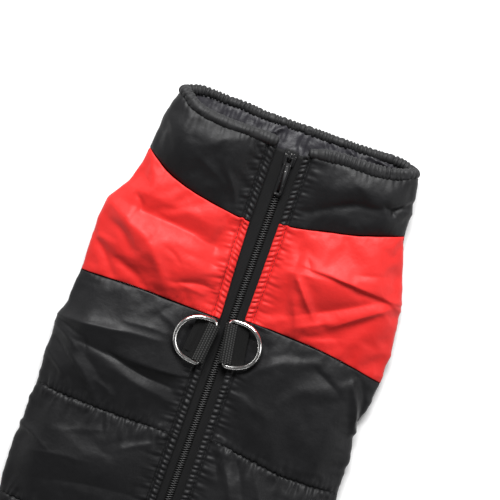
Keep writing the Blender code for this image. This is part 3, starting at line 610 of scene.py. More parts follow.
def grid_piece(name, points, material, merge=False, mask=None):
    """An object through an array of points, rows by columns, in millimetres.

    A mask, with a value from 0 to 1 for each point, is kept on the mesh for its shader.
    """
    rows, columns = points.shape[:2]
    mesh, row, column = grid_mesh(name, rows, columns)
    mesh.vertices.foreach_set("co", (points[row, column] * MM).ravel())
    across = run_lengths(points[rows // 2]) * MM
    along = run_lengths(points[:, columns // 2]) * MM
    corner = np.empty(len(mesh.loops), int)
    mesh.loops.foreach_get("vertex_index", corner)
    flat_cut = np.stack([across[column], along[row]], axis=-1)
    mesh.uv_layers.new(name="cut").data.foreach_set("uv", flat_cut[corner].ravel())
    if mask is not None:
        mesh.attributes.new("mask", "FLOAT", "POINT").data.foreach_set("value", mask[row, column])
    if merge:
        bm = bmesh.new()
        bm.from_mesh(mesh)
        bmesh.ops.remove_doubles(bm, verts=bm.verts[:], dist=MERGE_DISTANCE)
        bmesh.ops.recalc_face_normals(bm, faces=bm.faces[:])
        bm.to_mesh(mesh)
        bm.free()
    return new_piece(name, mesh, material)


def add_wall(piece, thickness, offset=-1.0):
    """Give a sheet its thickness, inwards from its outer face unless an offset is given."""
    wall = piece.modifiers.new("cloth_wall", "SOLIDIFY")
    wall.thickness = thickness * MM
    wall.offset = offset


def declare_sheet(piece, points):
    """Print the piece's flat cut: its width, its length and its area."""
    across = np.percentile(np.linalg.norm(np.diff(points, axis=1), axis=-1).sum(axis=1), 95) * MM
    along = np.percentile(np.linalg.norm(np.diff(points, axis=0), axis=-1).sum(axis=0), 95) * MM
    cells = np.cross(np.diff(points, axis=0)[:, :-1], np.diff(points, axis=1)[:-1])
    area = min(np.linalg.norm(cells, axis=-1).sum() * MM * MM, across * along)
    size = f"{across / MM:.0f} x {along / MM:.0f} mm, {area * 1e4:.0f} square cm"
    print(piece.name, "cut", size)


# %% [markdown]
# ## Edges that fold under
# No edge of real sewn cloth is a bare cut: it turns under at a seam or a hem. The fold is made
# in the grid itself, as a few more rows round a small radius and one that is tucked back
# below. So the fold follows the puckers of the edge, and every edge of a piece can have one.

# %% Folded edges
FOLD_ANGLES = np.radians((40.0, 80.0, 120.0, 160.0, 180.0))
EDGE_SMOOTHING = 4


def roll_edge(points, upwards, edge, radius, tuck):
    """Fold one edge of the cloth under, round a radius, with a strip tucked back below."""
    if edge in ("first_column", "last_column"):
        edge = edge.replace("column", "row")
        return roll_edge(points.transpose(1, 0, 2), upwards, edge, radius, tuck).transpose(1, 0, 2)
    if edge == "last_row":
        return roll_edge(points[::-1], upwards, "first_row", radius, tuck)[::-1]
    normal = face_normals(points, upwards)[0]
    outwards = points[0] - points[2]
    outwards -= normal * (outwards * normal).sum(-1, keepdims=True)
    for _ in range(EDGE_SMOOTHING):
        for line in (outwards, normal):
            line[1:-1] = (line[:-2] + line[1:-1] + line[2:]) / 3
    outwards, normal = unit(outwards), unit(normal)
    strip = []
    for angle in FOLD_ANGLES:
        strip.append(points[0] + radius * (outwards * np.sin(angle) - normal * (1 - np.cos(angle))))
    strip.append(strip[-1] - outwards * tuck)
    return np.concatenate([np.array(strip[::-1]), points])


# %% [markdown]
# ## Uneven numbers
# Real gathers differ from each other. `soft_noise` gives smooth random values over a plane,
# the same ones at every run. `puckers` makes one small ridge after another along a seam, each
# with its own height, length and slant, and `rungs` makes rounded steps side by side.

# %% Noise
NOISE_CELLS = 64


def soft_noise(u, v, seed):
    """Smooth values from -1 to 1 that change over about one unit of u and v."""
    table = np.random.default_rng(seed).uniform(-1.0, 1.0, (NOISE_CELLS, NOISE_CELLS))
    u, v = np.broadcast_arrays(np.asarray(u, float), np.asarray(v, float))
    i, j = np.floor(u).astype(int), np.floor(v).astype(int)
    s, t = ramp(u - i, 0.0, 1.0), ramp(v - j, 0.0, 1.0)
    i_next, j_next = (i + 1) % NOISE_CELLS, (j + 1) % NOISE_CELLS
    i, j = i % NOISE_CELLS, j % NOISE_CELLS
    top = table[i, j] * (1 - s) + table[i_next, j] * s
    low = table[i, j_next] * (1 - s) + table[i_next, j_next] * s
    return top * (1 - t) + low * t


# %% Puckers and rungs
PUCKER_COUNT = 400           # more than any seam needs
PUCKERS_BEFORE = 40          # how many of them lie before the seam's start
PUCKER_JITTER = 0.28         # how far a pucker may be from its even place, in pitches
RUNG_COUNT = 300
RUNGS_BEFORE = 30
RUNG_JITTER = 0.22
RUNG_POWER = 1.3


def puckers(along, away, pitch, reach, seed, slant=0.0):
    """Height from 0 to 1 of small ridges that start at a seam and run away from it."""
    random = np.random.default_rng(seed)
    number = np.arange(PUCKER_COUNT) - PUCKERS_BEFORE
    centre = (number + random.uniform(-PUCKER_JITTER, PUCKER_JITTER, PUCKER_COUNT)) * pitch
    tall = random.uniform(0.45, 1.0, PUCKER_COUNT)
    long = reach * random.uniform(0.45, 1.5, PUCKER_COUNT)
    lean = random.uniform(-0.25, 0.25, PUCKER_COUNT)
    nearest = np.rint(along / pitch).astype(int) + PUCKERS_BEFORE
    total = np.zeros(np.broadcast(along, away).shape)
    for step in (-2, -1, 0, 1, 2):
        i = np.clip(nearest + step, 0, PUCKER_COUNT - 1)
        offset = along - centre[i] - (lean[i] + slant) * away
        width = pitch * (0.30 + 0.25 * away / long[i])
        ridge = tall[i] * np.exp(-((offset / width) ** 2)) * np.exp(-((away / long[i]) ** 2))
        total = np.maximum(total, ridge)
    return total


def rungs(along, pitch, seed):
    """Height from 0 to 1 of rounded rungs side by side, with a narrow dip between each two."""
    random = np.random.default_rng(seed)
    number = np.arange(RUNG_COUNT) - RUNGS_BEFORE
    edge = (number + random.uniform(-RUNG_JITTER, RUNG_JITTER, RUNG_COUNT)) * pitch
    tall = random.uniform(0.6, 1.0, RUNG_COUNT)
    i = np.clip(np.searchsorted(edge, along) - 1, 0, RUNG_COUNT - 2)
    t = (along - edge[i]) / (edge[i + 1] - edge[i])
    return tall[i] * np.sin(math.pi * np.clip(t, 0.0, 1.0)) ** RUNG_POWER


print("lowest noise value", round(float(soft_noise(np.arange(99) / 3, 0, 1).min()), 2))

# %% [markdown]
# ## Creases
# The large creases are listed one by one, each as a line with a width and a height: a soft
# ridge if the height is positive, a trough if it is negative. A bow bends the line to one side,
# and a skew makes one slope broad and the other steep, as where cloth has been folded over. A
# soft crease has a rounded crest instead of a crisp one. A simulation would give other creases
# at every change, so a table is the way to have them where this vest has its own: uneven in
# length and depth, as on cloth that was folded up and laid out again.

# %% Crease table
Crease = namedtuple("Crease", "x_a down_a x_b down_b bow width height skew soft", defaults=(0.0, 0.0))
CREASES = (
    # collar, left
    Crease(-66.0, 9.0, -24.0, 7.5, 1.5, 4.5, 0.9, 0.0, 1.0),
    Crease(-50.0, 22.0, -37.0, 29.0, 0.0, 3.0, 0.7),
    Crease(-32.0, 25.0, -20.0, 42.0, 1.0, 3.5, 0.8),
    Crease(-72.0, 14.0, -66.0, 32.0, 1.0, 4.0, -0.7),
    # collar, right
    Crease(24.0, 31.0, 46.0, 18.5, 1.0, 5.5, -2.5, -0.3, 0.25),
    Crease(46.0, 18.5, 65.0, 13.0, -1.0, 5.5, -3.0, -0.3, 0.1),
    Crease(64.5, 13.5, 68.5, 15.5, 0.5, 1.5, -1.8),
    Crease(68.5, 15.5, 71.0, 11.5, 0.5, 1.5, -1.8),
    Crease(71.0, 11.5, 77.0, 7.5, -0.8, 1.8, -1.5),
    Crease(72.0, 11.5, 78.0, 12.5, 0.0, 2.4, 1.3),
    Crease(22.0, 8.0, 62.0, 5.0, 1.0, 5.0, 0.6, 0.0, 1.0),
    # yoke, right
    Crease(35.0, 62.0, 60.0, 63.0, 0.0, 5.0, 1.5, 0.8),
    Crease(58.0, 63.0, 82.0, 65.5, 0.0, 7.0, 2.3, 0.85),
    Crease(82.0, 65.5, 92.0, 70.5, 0.0, 3.0, 1.2, 0.6),
    Crease(60.0, 57.5, 76.0, 53.5, 0.5, 2.5, -0.7),
    Crease(37.0, 91.0, 75.0, 70.0, -1.0, 7.0, -3.7, 0.2),
    Crease(61.0, 89.0, 81.0, 74.0, 0.5, 3.6, 1.8, 0.4),
    Crease(30.5, 72.5, 43.0, 88.0, 0.0, 2.2, 2.8),
    Crease(8.0, 72.0, 46.0, 66.5, 0.5, 9.0, 3.0, -0.45, 0.1),
    Crease(31.5, 58.5, 34.0, 63.5, 0.3, 0.9, -0.7),
    Crease(32.5, 87.0, 37.5, 99.5, 0.0, 3.6, 2.2, 0.2),
    Crease(37.5, 99.5, 53.0, 91.5, 0.0, 4.0, 2.2, -0.2),
    Crease(42.0, 105.0, 60.0, 99.0, 0.0, 4.0, -1.3, 0.4),
    Crease(22.0, 52.0, 25.0, 64.0, 1.0, 5.0, -1.0),
    Crease(25.0, 80.0, 28.0, 100.0, 1.0, 5.0, -0.9),
    # yoke, left
    Crease(-76.0, 53.0, -22.0, 58.0, 1.0, 5.0, 1.8, 0.3, 0.4),
    Crease(-78.0, 63.0, -15.0, 71.0, 1.0, 8.5, -5.2, 0.3, 0.1),
    Crease(-77.0, 57.0, -73.0, 64.0, 1.2, 1.4, -1.0),
    Crease(-88.0, 67.5, -62.0, 79.0, 1.5, 6.0, 2.5, -0.2, 0.3),
    Crease(-62.0, 79.0, -44.0, 105.0, 1.0, 6.5, 2.8, -0.2, 0.3),
    Crease(-50.0, 86.0, -24.0, 88.0, 1.5, 6.0, 0.8, 0.0, 1.0),
    Crease(-90.0, 76.0, -72.0, 86.0, 2.0, 3.5, -0.9, 0.0, 0.5),
    Crease(-79.0, 97.0, -52.0, 110.0, 1.5, 4.5, -2.6, 0.0, 0.3),
    Crease(-93.0, 90.0, -79.0, 106.0, 1.0, 3.2, -1.7, 0.0, 0.2),
    Crease(-50.0, 80.0, -42.0, 84.5, 0.8, 1.6, -0.7),
    Crease(-34.0, 79.0, -16.0, 81.5, 0.5, 3.6, -1.6, 0.3),
    Crease(-40.0, 97.5, -15.0, 96.0, 2.0, 2.4, -1.7),
    Crease(-34.0, 98.0, -18.0, 101.0, 0.5, 2.4, 1.3),
    Crease(-34.0, 99.0, -29.0, 107.0, 0.0, 2.4, -1.3),
    Crease(-21.0, 101.0, -13.0, 99.5, 0.4, 1.1, -0.7),
    # body, left of the zip
    Crease(-94.0, 122.0, -52.0, 120.0, 0.0, 7.0, -1.2, 0.0, 1.0),
    Crease(-100.0, 143.0, -66.0, 137.5, 0.3, 5.0, 3.4, -0.35),
    Crease(-66.0, 137.5, -38.0, 135.0, 0.5, 4.5, 1.5, -0.35),
    Crease(-96.0, 144.5, -84.0, 147.5, 0.3, 1.6, -1.2),
    Crease(-66.0, 113.0, -60.0, 126.0, 1.0, 4.0, 0.7, 0.0, 1.0),
    Crease(-58.0, 130.5, -36.0, 129.5, 0.6, 2.4, 1.0),
    Crease(-42.0, 119.0, -35.0, 111.0, 0.5, 2.4, -1.5),
    Crease(-40.0, 120.0, -28.0, 126.0, 0.6, 2.6, 1.0),
    Crease(-54.0, 151.0, -18.0, 151.5, 0.0, 6.0, 2.4, 0.5),
    Crease(-80.0, 151.5, -60.0, 154.0, 0.3, 2.6, -1.5, 0.3),
    Crease(-61.0, 152.5, -24.0, 160.5, -1.5, 3.2, -2.6, 0.2),
    Crease(-54.0, 161.0, -22.0, 167.0, -1.0, 4.5, 1.2),
    Crease(-80.0, 148.0, -77.0, 155.0, 0.0, 1.3, -0.9),
    Crease(-96.0, 149.0, -84.0, 155.0, 0.6, 2.6, 1.4),
    Crease(-96.0, 157.0, -86.0, 163.0, 0.6, 2.6, -1.2),
    Crease(-97.0, 166.0, -84.0, 176.0, 0.8, 3.0, 1.4),
    Crease(-86.0, 160.0, -71.0, 172.0, 0.8, 3.0, 1.6, 0.0, 0.4),
    Crease(-71.0, 172.0, -62.0, 185.0, 0.6, 2.8, 1.6, 0.0, 0.3),
    Crease(-38.0, 173.0, -36.0, 186.0, 0.0, 2.0, 0.9),
    Crease(-64.0, 171.5, -54.0, 176.0, 0.3, 2.0, 1.0),
    Crease(-78.0, 157.0, -64.0, 168.0, 0.5, 3.0, -1.1),
    Crease(-56.0, 174.0, -53.0, 186.0, 0.0, 2.0, 1.2),
    Crease(-47.0, 172.0, -45.0, 186.0, 0.0, 2.0, 1.1),
    # body, right of the zip
    Crease(20.0, 138.0, 36.0, 123.0, 0.8, 4.6, 1.8, -0.3, 0.3),
    Crease(36.0, 123.0, 66.0, 115.0, 1.0, 5.0, 1.5, -0.3, 0.4),
    Crease(54.0, 135.0, 82.0, 121.5, -1.0, 4.5, 1.2, 0.0, 0.7),
    Crease(60.0, 121.0, 70.0, 126.5, 0.0, 2.6, -1.5),
    Crease(82.0, 121.0, 91.5, 150.0, 1.0, 2.0, 3.4),
    Crease(88.0, 121.0, 93.5, 144.0, 1.0, 2.4, -2.2),
    Crease(14.0, 153.0, 40.0, 157.0, 1.0, 4.0, 1.1, 0.0, 0.6),
    Crease(24.0, 160.0, 48.0, 174.0, -1.0, 4.6, 1.1, 0.0, 0.8),
    Crease(58.0, 156.0, 80.0, 180.0, 1.5, 5.0, 1.0, 0.0, 1.0),
    Crease(56.0, 181.0, 74.0, 181.0, -1.0, 3.0, 1.0, 0.0, 0.5),
    Crease(17.0, 112.0, 21.0, 106.0, 0.0, 2.0, -0.8),
    # below the first quilt seam
    Crease(-74.0, 207.0, -50.0, 199.0, 1.0, 5.0, 0.8),
    Crease(-36.0, 205.0, -19.0, 196.5, 0.6, 2.4, 0.9),
    Crease(-58.0, 186.0, -51.0, 199.0, 0.0, 2.2, -0.9),
    Crease(-46.0, 186.0, -41.0, 197.0, 0.0, 2.0, 0.9),
    Crease(-98.0, 214.0, -84.0, 219.0, 0.5, 3.0, 1.3),
    Crease(-86.0, 225.0, -60.0, 221.0, 1.0, 4.0, 1.2),
    Crease(-76.0, 240.0, -26.0, 232.0, 2.0, 6.0, -1.7),
    Crease(-50.0, 247.0, -18.0, 243.0, 1.0, 3.4, 1.1),
    Crease(14.0, 187.0, 22.0, 200.0, 0.6, 2.6, -1.7),
    Crease(22.0, 190.0, 34.0, 210.0, 1.0, 3.2, 1.8),
    Crease(31.0, 190.0, 40.0, 206.0, 1.0, 3.0, -1.5),
    Crease(41.0, 190.0, 54.0, 212.0, 1.5, 3.6, 1.8),
    Crease(36.0, 240.0, 86.0, 244.0, 2.0, 6.0, -1.7),
    Crease(44.0, 228.0, 80.0, 222.0, 1.0, 4.0, 1.3),
    Crease(84.0, 214.0, 98.0, 209.0, 0.6, 3.0, 1.2),
    # the channel at the hem
    Crease(-80.0, 282.0, -28.0, 296.0, 2.0, 6.0, -1.7),
    Crease(-58.0, 268.0, -30.0, 276.0, 1.0, 4.0, 1.2),
    Crease(-92.0, 272.0, -78.0, 278.0, 0.6, 3.0, 1.1),
    Crease(26.0, 292.0, 78.0, 279.0, 2.0, 5.5, 1.5),
    Crease(32.0, 306.0, 66.0, 300.0, 1.5, 5.0, -1.5),
    Crease(-60.0, 312.0, -24.0, 316.0, 1.0, 4.5, 1.2),
)


# %% Crease heights
CREST_ROUNDING = 0.3         # radius of a crisp crest
SOFT_ROUNDING = 0.6          # share of the width that is rounded on a fully soft crease
CREST_POWER = 1.2
SKEW_REACH = 0.6
END_FADE = 0.35              # how much lower the crest is at its ends than in its middle
END_REACH = 1.6              # widths over which it dies away beyond them


def crease_height(x, down):
    """Height of all creases together; each falls away from a narrow crest."""
    total = np.zeros(np.broadcast(x, down).shape)
    for crease in CREASES:
        run_x, run_down = crease.x_b - crease.x_a, crease.down_b - crease.down_a
        length = math.hypot(run_x, run_down)
        along = ((x - crease.x_a) * run_x + (down - crease.down_a) * run_down) / length
        aside = ((x - crease.x_a) * run_down - (down - crease.down_a) * run_x) / length
        t = np.clip(along / length, 0.0, 1.0)
        aside = aside - crease.bow * 4 * t * (1 - t)
        beyond = np.maximum(np.maximum(-along, along - length), 0.0)
        fade = 1 - END_FADE * (2 * t - 1) ** 2
        width = crease.width * (1 + crease.skew * np.tanh(aside / SKEW_REACH))
        rounding = CREST_ROUNDING + SOFT_ROUNDING * crease.soft * crease.width
        spread = (np.sqrt(aside**2 + rounding**2) - rounding) / width
        fall = spread**CREST_POWER
        total += crease.height * fade * np.exp(-fall - (beyond / (END_REACH * crease.width)) ** 2)
    return total


print(len(CREASES), "creases placed by hand")

# %% [markdown]
# ## Settling the cloth
# Padding swells and shell cloth is cut a little larger than the padding, so the cloth buckles
# into small wrinkles between the creases. Blender's cloth simulation makes these: the grid
# starts with its creases, is told to grow by a few hundredths, and is held fast at its seams
# and weakly everywhere else. What comes out is read from the evaluated mesh, and the helper
# object is removed, so that no simulation is left in the file.

# %% Cloth simulation
SETTLE_FRAMES = 22
HOLD_WEAKLY = 0.025
EXCESS = 0.028               # share by which the shell is cut too large
LARGEST_MOVE = 2.6
CLOTH_SETTINGS = {
    "quality": 6,
    "mass": 0.1,
    "tension_stiffness": 15.0,
    "compression_stiffness": 15.0,
    "shear_stiffness": 6.0,
    "bending_stiffness": 0.4,
    "tension_damping": 5.0,
    "compression_damping": 5.0,
    "shear_damping": 5.0,
    "vertex_group_mass": "held",
    "pin_stiffness": 1.0,
    "shrink_min": -EXCESS,
    "shrink_max": -EXCESS,
}


def settle(points, held, strength):
    """Points of a grid after the cloth has buckled; held is 1 where it is sewn down.

    Strength is the share of the movement that is kept, lower where the padding is firm.
    """
    rows, columns = points.shape[:2]
    mesh, row, column = grid_mesh("settling_cloth", rows, columns)
    mesh.vertices.foreach_set("co", (points[row, column] * MM).ravel())
    piece = new_piece("settling_cloth", mesh, None)
    group = piece.vertex_groups.new(name="held")
    sewn = held[row, column]
    group.add([int(i) for i in np.nonzero(sewn > 0.5)[0]], 1.0, "REPLACE")
    group.add([int(i) for i in np.nonzero(sewn <= 0.5)[0]], HOLD_WEAKLY, "REPLACE")
    cloth = piece.modifiers.new("cloth", "CLOTH")
    for key, value in CLOTH_SETTINGS.items():
        setattr(cloth.settings, key, value)
    cloth.settings.effector_weights.gravity = 0.0
    cloth.collision_settings.use_collision = False
    for step in range(1, SETTLE_FRAMES + 1):
        scene.frame_set(step)
    settled = piece.evaluated_get(bpy.context.evaluated_depsgraph_get()).to_mesh()
    place = np.empty(len(settled.vertices) * 3)
    settled.vertices.foreach_get("co", place)
    result = np.empty_like(points)
    result[row, column] = place.reshape(-1, 3) / MM
    print(piece.name, len(points), "rows settled")
    bpy.data.objects.remove(piece)
    scene.frame_set(1)
    moved = result - points
    reach = np.linalg.norm(moved, axis=-1, keepdims=True)
    return points + strength * moved * np.minimum(1.0, LARGEST_MOVE / np.maximum(reach, 1e-6))


def finer(field, axes):
    """A grid of values with a new line between each two, along each axis named."""
    for axis in axes:
        field = np.moveaxis(field, axis, 0)
        wide = np.empty((2 * len(field) - 1, *field.shape[1:]))
        wide[0::2] = field
        wide[1::2] = (field[:-1] + field[1:]) / 2
        wide[1:-1] = (wide[:-2] + 2 * wide[1:-1] + wide[2:]) / 4
        field = np.moveaxis(wide, 0, axis)
    return field


# %% [markdown]
# ## The six padded panels
# A collar, a yoke and a body panel lie on each side of the zip. Their grids share one list of
# columns, so that neighbours meet exactly at a seam. The columns stand close together near
# the zip, where the cloth is folded, stitched and gathered, and further apart beyond.
# On top of the plain surface come the padding of each channel, the creases, the settling,
# the puckers at the zip and at the seams, and at last the edges that fold under.

# %% Panel columns
ZIP_EDGE = 7.0               # from the zip's middle to the panel's folded edge
STITCH_LINE = 12.0           # from the zip's middle to the line of stitches
PUCKER_END = 19.5            # from the zip's middle to where the columns stand further apart
FOLD_RADIUS = 0.75
STRIP_COLUMNS = 6            # between the folded edge and the line of stitches
PUCKER_COLUMNS = 10
SIDE_COLUMNS = 96            # with those near the zip a multiple of SIMULATED_STEP
LAYOUT_DOWN = 100.0          # where the width is taken that the columns are shared out on
TRIAL_STEPS = 400


def column_places():
    """Distances from the zip's middle near the zip, then shares of the way to the side."""
    near = list(np.linspace(ZIP_EDGE + FOLD_RADIUS, STITCH_LINE, STRIP_COLUMNS + 1))
    near += list(np.linspace(STITCH_LINE, PUCKER_END, PUCKER_COLUMNS + 1))[1:]
    trial = np.linspace(0.0, 1.0, TRIAL_STEPS) ** 0.5
    reach = half_width(RIGHT, LAYOUT_DOWN) - PUCKER_END
    line = upper_plain(RIGHT, PUCKER_END + reach * trial, np.full(TRIAL_STEPS, LAYOUT_DOWN))
    length = run_lengths(line)
    even = np.linspace(0.0, length[-1], SIDE_COLUMNS + 1)
    return np.array(near), np.interp(even, length, trial)[1:]


NEAR, SHARES = column_places()
print(len(NEAR) + len(SHARES), "columns on each side")

# %% Panel rows
ROW_PITCH = 0.6
SIMULATED_STEP = 4           # only every fourth row and column is simulated
CORNER_FROM = 0.85           # a corner begins at this share of the half width
PLUMPNESS = {"neck": 0.7, "collar": 0.9, "yoke": 0.9, "quilt": 0.6, "lower": 0.6, "hem": 0.7}
Places = namedtuple("Places", "distance share down top bottom power")


def panel_places(side, seams, margins):
    """Every grid point: its place, the seams above and below it and how plump it is there."""
    layout_width = half_width(side, LAYOUT_DOWN)
    across0 = PUCKER_END / layout_width
    across = np.concatenate([NEAR / layout_width, across0 + (1 - across0) * SHARES])
    lines = [seam_line(name, side, across) for name in seams]
    lines[0] = lines[0] + margins[0] * (1 - ramp(across, CORNER_FROM, 1.0) * (seams[0] == "neck"))
    lines[-1] = lines[-1] - margins[1]
    downs, tops, bottoms, powers = [], [], [], []
    for names, top, bottom in zip(zip(seams, seams[1:]), lines, lines[1:]):
        count = SIMULATED_STEP * round((bottom - top).mean() / ROW_PITCH / SIMULATED_STEP)
        t = np.linspace(0.0, 1.0, count + 1)[:, None]
        if downs:
            t = t[1:]
        downs.append(top + (bottom - top) * t)
        tops.append(top + 0 * t)
        bottoms.append(bottom + 0 * t)
        powers.append(PLUMPNESS[names[0]] * (1 - t) + PLUMPNESS[names[1]] * t + 0 * top)
    down = np.concatenate(downs)
    width = half_width(side, down)
    far = PUCKER_END + (width - PUCKER_END) * np.concatenate([0 * NEAR, SHARES])
    distance = np.where(np.arange(len(across)) < len(NEAR), np.concatenate([NEAR, 0 * SHARES]), far)
    top, bottom, power = np.concatenate(tops), np.concatenate(bottoms), np.concatenate(powers)
    return Places(distance, distance / width, down, top, bottom, power)


# %% Padding
QUILT_RISE = 4.8
QUILT_FULL_FROM = 38.0       # distance from the zip at which the padding has its full height
QUILT_AT_SIDE = 0.25         # and its share of that at the side seam


def padding_height(side, distance, down, top, bottom, power):
    """Height of the padding between two seams, and how far a point is inside its channel."""
    t = np.clip((down - top) / (bottom - top), 0.0, 1.0)
    plump = np.sin(np.pi * t) ** power
    share = distance / half_width(side, down)
    thinned = 1 - (1 - QUILT_AT_SIDE) * ramp(share, 0.8, 1.0)
    spread = ramp(distance, STITCH_LINE, QUILT_FULL_FROM) * thinned
    return QUILT_RISE * plump * spread, np.minimum(plump * 1.2, 1.0)


# %% [markdown]
# ## Gathers and puckers
# Beside the zip the panel is folded, stitched through and drawn together, so the strip looks
# like a row of rungs, and ridges run on from the stitches into the panel. Each cross seam and
# each line of quilting draws up the cloth above and below it in the same way. These ridges
# are finer than a simulation gives in good time, so they are heights worked out by formula.

# %% Gathers at the zip
STRIP_PITCH = 3.3
STRIP_PUCKER = 1.45
SIDE_PUCKER = 1.5
STITCH_DEPTH = 1.3
STITCH_GROOVE = 0.9          # half width of the dip that the stitches make
STRIP_SEEDS = {LEFT: 11, RIGHT: 12}
COLLAR_ENDS = 45.0           # about how far down the collar goes beside the zip
COLLAR_SLANTS = {LEFT: 0.3, RIGHT: -0.1}
BODY_SLANT = 0.05
RUNG_LEAN = 0.55             # across the strip, at the collar
LEAN_LOST = 0.35             # how much of it goes between these distances down
LEAN_CHANGES = (40.0, 160.0)
RUNG_REACH = 5.0             # how far the rungs go on beyond the stitches
RIDGE_REACH = 9.0


def zip_gathers(side, distance, down):
    """The folded strip beside the zip, its line of stitches and the puckers beyond it."""
    seed = STRIP_SEEDS[side]
    strip = np.clip((distance - ZIP_EDGE) / (STITCH_LINE - ZIP_EDGE), 0.0, 1.0)
    away = np.abs(distance - STITCH_LINE)
    lean = RUNG_LEAN - LEAN_LOST * ramp(down, *LEAN_CHANGES)
    ridges = rungs(down + lean * (distance - ZIP_EDGE), STRIP_PITCH, seed)
    bulge = np.sin(np.pi * np.clip(1.1 * strip, 0.0, 1.0)) ** 0.6
    strip_height = STRIP_PUCKER * ridges * bulge
    slant = np.where(down < COLLAR_ENDS, COLLAR_SLANTS[side], BODY_SLANT)
    going_on = rungs(down - slant * away, STRIP_PITCH * 1.1, seed + 10)
    beyond = going_on * np.exp(-((away / RUNG_REACH) ** 1.5))
    longer = puckers(down, away, STRIP_PITCH * 1.7, RIDGE_REACH, seed + 20, -slant)
    side_height = SIDE_PUCKER * (0.5 * beyond + 0.6 * longer) * (1 - np.exp(-away / 1.0))
    groove = -STITCH_DEPTH * np.exp(-((away / STITCH_GROOVE) ** 2))
    return np.where(distance < STITCH_LINE, strip_height, side_height) + groove


# %% Puckers at the cross seams
SEAM_PUCKERS = {"neck": 0.6, "collar": 0.22, "yoke": 0.35, "quilt": 2.1, "lower": 1.9, "hem": 0.8}
SEAM_PITCHES = (3.4, 3.8)    # above the seam and below it
SEAM_REACHES = (6.0, 8.5)


def seam_puckers(distance, down, lines, strengths, seed):
    """Short ridges that start at each cross seam, above it and below it."""
    total = np.zeros(down.shape)
    for number, line in enumerate(lines):
        away = np.abs(down - line)
        for below in (0, 1):
            own_seed = seed + 7 * number + below
            ridges = puckers(distance, away, SEAM_PITCHES[below], SEAM_REACHES[below], own_seed)
            rise = (1 - np.exp(-away / 0.8)) * ((down > line) == below)
            total += strengths[number] * ridges * rise
    return total * ramp(distance, STITCH_LINE, STITCH_LINE + 6.0)


# %% [markdown]
# ## Under the webbing
# The webbing of each ring is sewn down on the body, so it presses the cloth flat, and no
# crease or pucker may stand through it. The webbing is placed later, so its place is given
# here, with a mask for the panels and the height at which the webbing will lie.

# %% Where the ring webbing lies
RingSeat = namedtuple("RingSeat", "x down turn")
RING_SEATS = {LEFT: RingSeat(-9.6, 126.8, -6.0), RIGHT: RingSeat(2.0, 123.0, 9.0)}
PRESSED_MIDDLE = 4.5         # from the ring's bar to the middle of the flat place
PRESSED_HALF_REACH = 8.5
PRESSED_HALF_WIDTH = 12.5
PRESSED_FADE = 4.5
FOLD_LAYER = 0.8             # the folded strip is this much higher than a single layer


def under_webbing(side, x, down):
    """1 where the webbing presses the cloth flat, 0 well away from it."""
    seat = RING_SEATS[side]
    turn = math.radians(seat.turn)
    run_x, run_y = x - seat.x, seat.down - down
    outward = side * (run_x * math.cos(turn) + run_y * math.sin(turn))
    along = run_y * math.cos(turn) - run_x * math.sin(turn)
    aside = np.abs(outward - PRESSED_MIDDLE)
    outside = ramp(aside, PRESSED_HALF_REACH, PRESSED_HALF_REACH + PRESSED_FADE)
    past_ends = ramp(np.abs(along), PRESSED_HALF_WIDTH, PRESSED_HALF_WIDTH + PRESSED_FADE)
    return (1 - outside) * (1 - past_ends)


def cloth_height(x, down):
    """Height of the body's padded cloth without its creases."""
    side = np.where(x < 0, LEFT, RIGHT)
    distance = np.abs(x)
    result = np.zeros(x.shape)
    for one in (LEFT, RIGHT):
        across = distance / half_width(one, down)
        top, bottom = seam_line("yoke", one, across), seam_line("quilt", one, across)
        power = PLUMPNESS["yoke"] + (PLUMPNESS["quilt"] - PLUMPNESS["yoke"]) * (down - top) / (bottom - top)
        padding = padding_height(one, distance, down, top, bottom, np.clip(power, 0.5, 1.0))[0]
        padding = padding + np.where(distance < PUCKER_END, FOLD_LAYER, 0.0)
        padding = np.where(distance < ZIP_EDGE, 0.0, padding)
        result = np.where(side == one, upper_plain(one, distance, down)[..., 2] + padding, result)
    return result


# %% [markdown]
# ## Stitches
# Each row of sewing is a line of separate short stitches that lie on the cloth. One stitch is
# a cube stretched to a bar, set along the line and bevelled once, which is only a few faces
# for each of several hundred stitches.

# %% Stitches
STITCH_PITCH = 2.7
STITCH = (0.42, 1.9, 0.36)   # its width, length and height
STITCH_STAND = 0.24
STITCH_INSET = 0.5           # from the line's ends
STITCH_AIM = 0.8             # how far ahead on the line a stitch points
STITCH_ROUNDING = 0.14


def round_edges(bm, radius, segments, edges=None):
    """Bevel all edges of a bmesh, or only those given."""
    geom = bm.edges[:] if edges is None else edges
    bmesh.ops.bevel(bm, geom=geom, offset=radius, segments=segments, profile=0.5, affect="EDGES", material=-1)


def scale_all(bm, factor):
    """Turn a bmesh in millimetres into metres, or back."""
    bmesh.ops.scale(bm, vec=(factor, factor, factor), verts=bm.verts[:])


def sew(name, line, material):
    """A row of separate stitches along a line of points."""
    places = np.arange(STITCH_INSET, run_lengths(line)[-1] - STITCH_INSET, STITCH_PITCH)
    bm = bmesh.new()
    for spot, target in zip(points_along(line, places), points_along(line, places + STITCH_AIM)):
        run = Vector(target - spot).normalized()
        aside = run.cross(Vector((0.0, 0.0, 1.0))).normalized()
        stand = aside.cross(run)
        axes = Matrix((aside, run, stand)).transposed().to_4x4()
        middle = Matrix.Translation(Vector(spot) + stand * STITCH_STAND)
        bmesh.ops.create_cube(bm, size=1.0, matrix=middle @ axes @ Matrix.Diagonal((*STITCH, 1.0)))
    round_edges(bm, STITCH_ROUNDING, 1)
    scale_all(bm, MM)
    row = piece_from(bm, name, material)
    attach(row, "vest")
    return row


# %% [markdown]
# ## Making a panel
# All six panels are made by one function from one table. It lays out the grid, adds padding,
# creases and the settled wrinkles, then the fine puckers, sews its rows and folds its edges.
# Along the left of the collar and the yoke, the folded edge stands further from the zip.

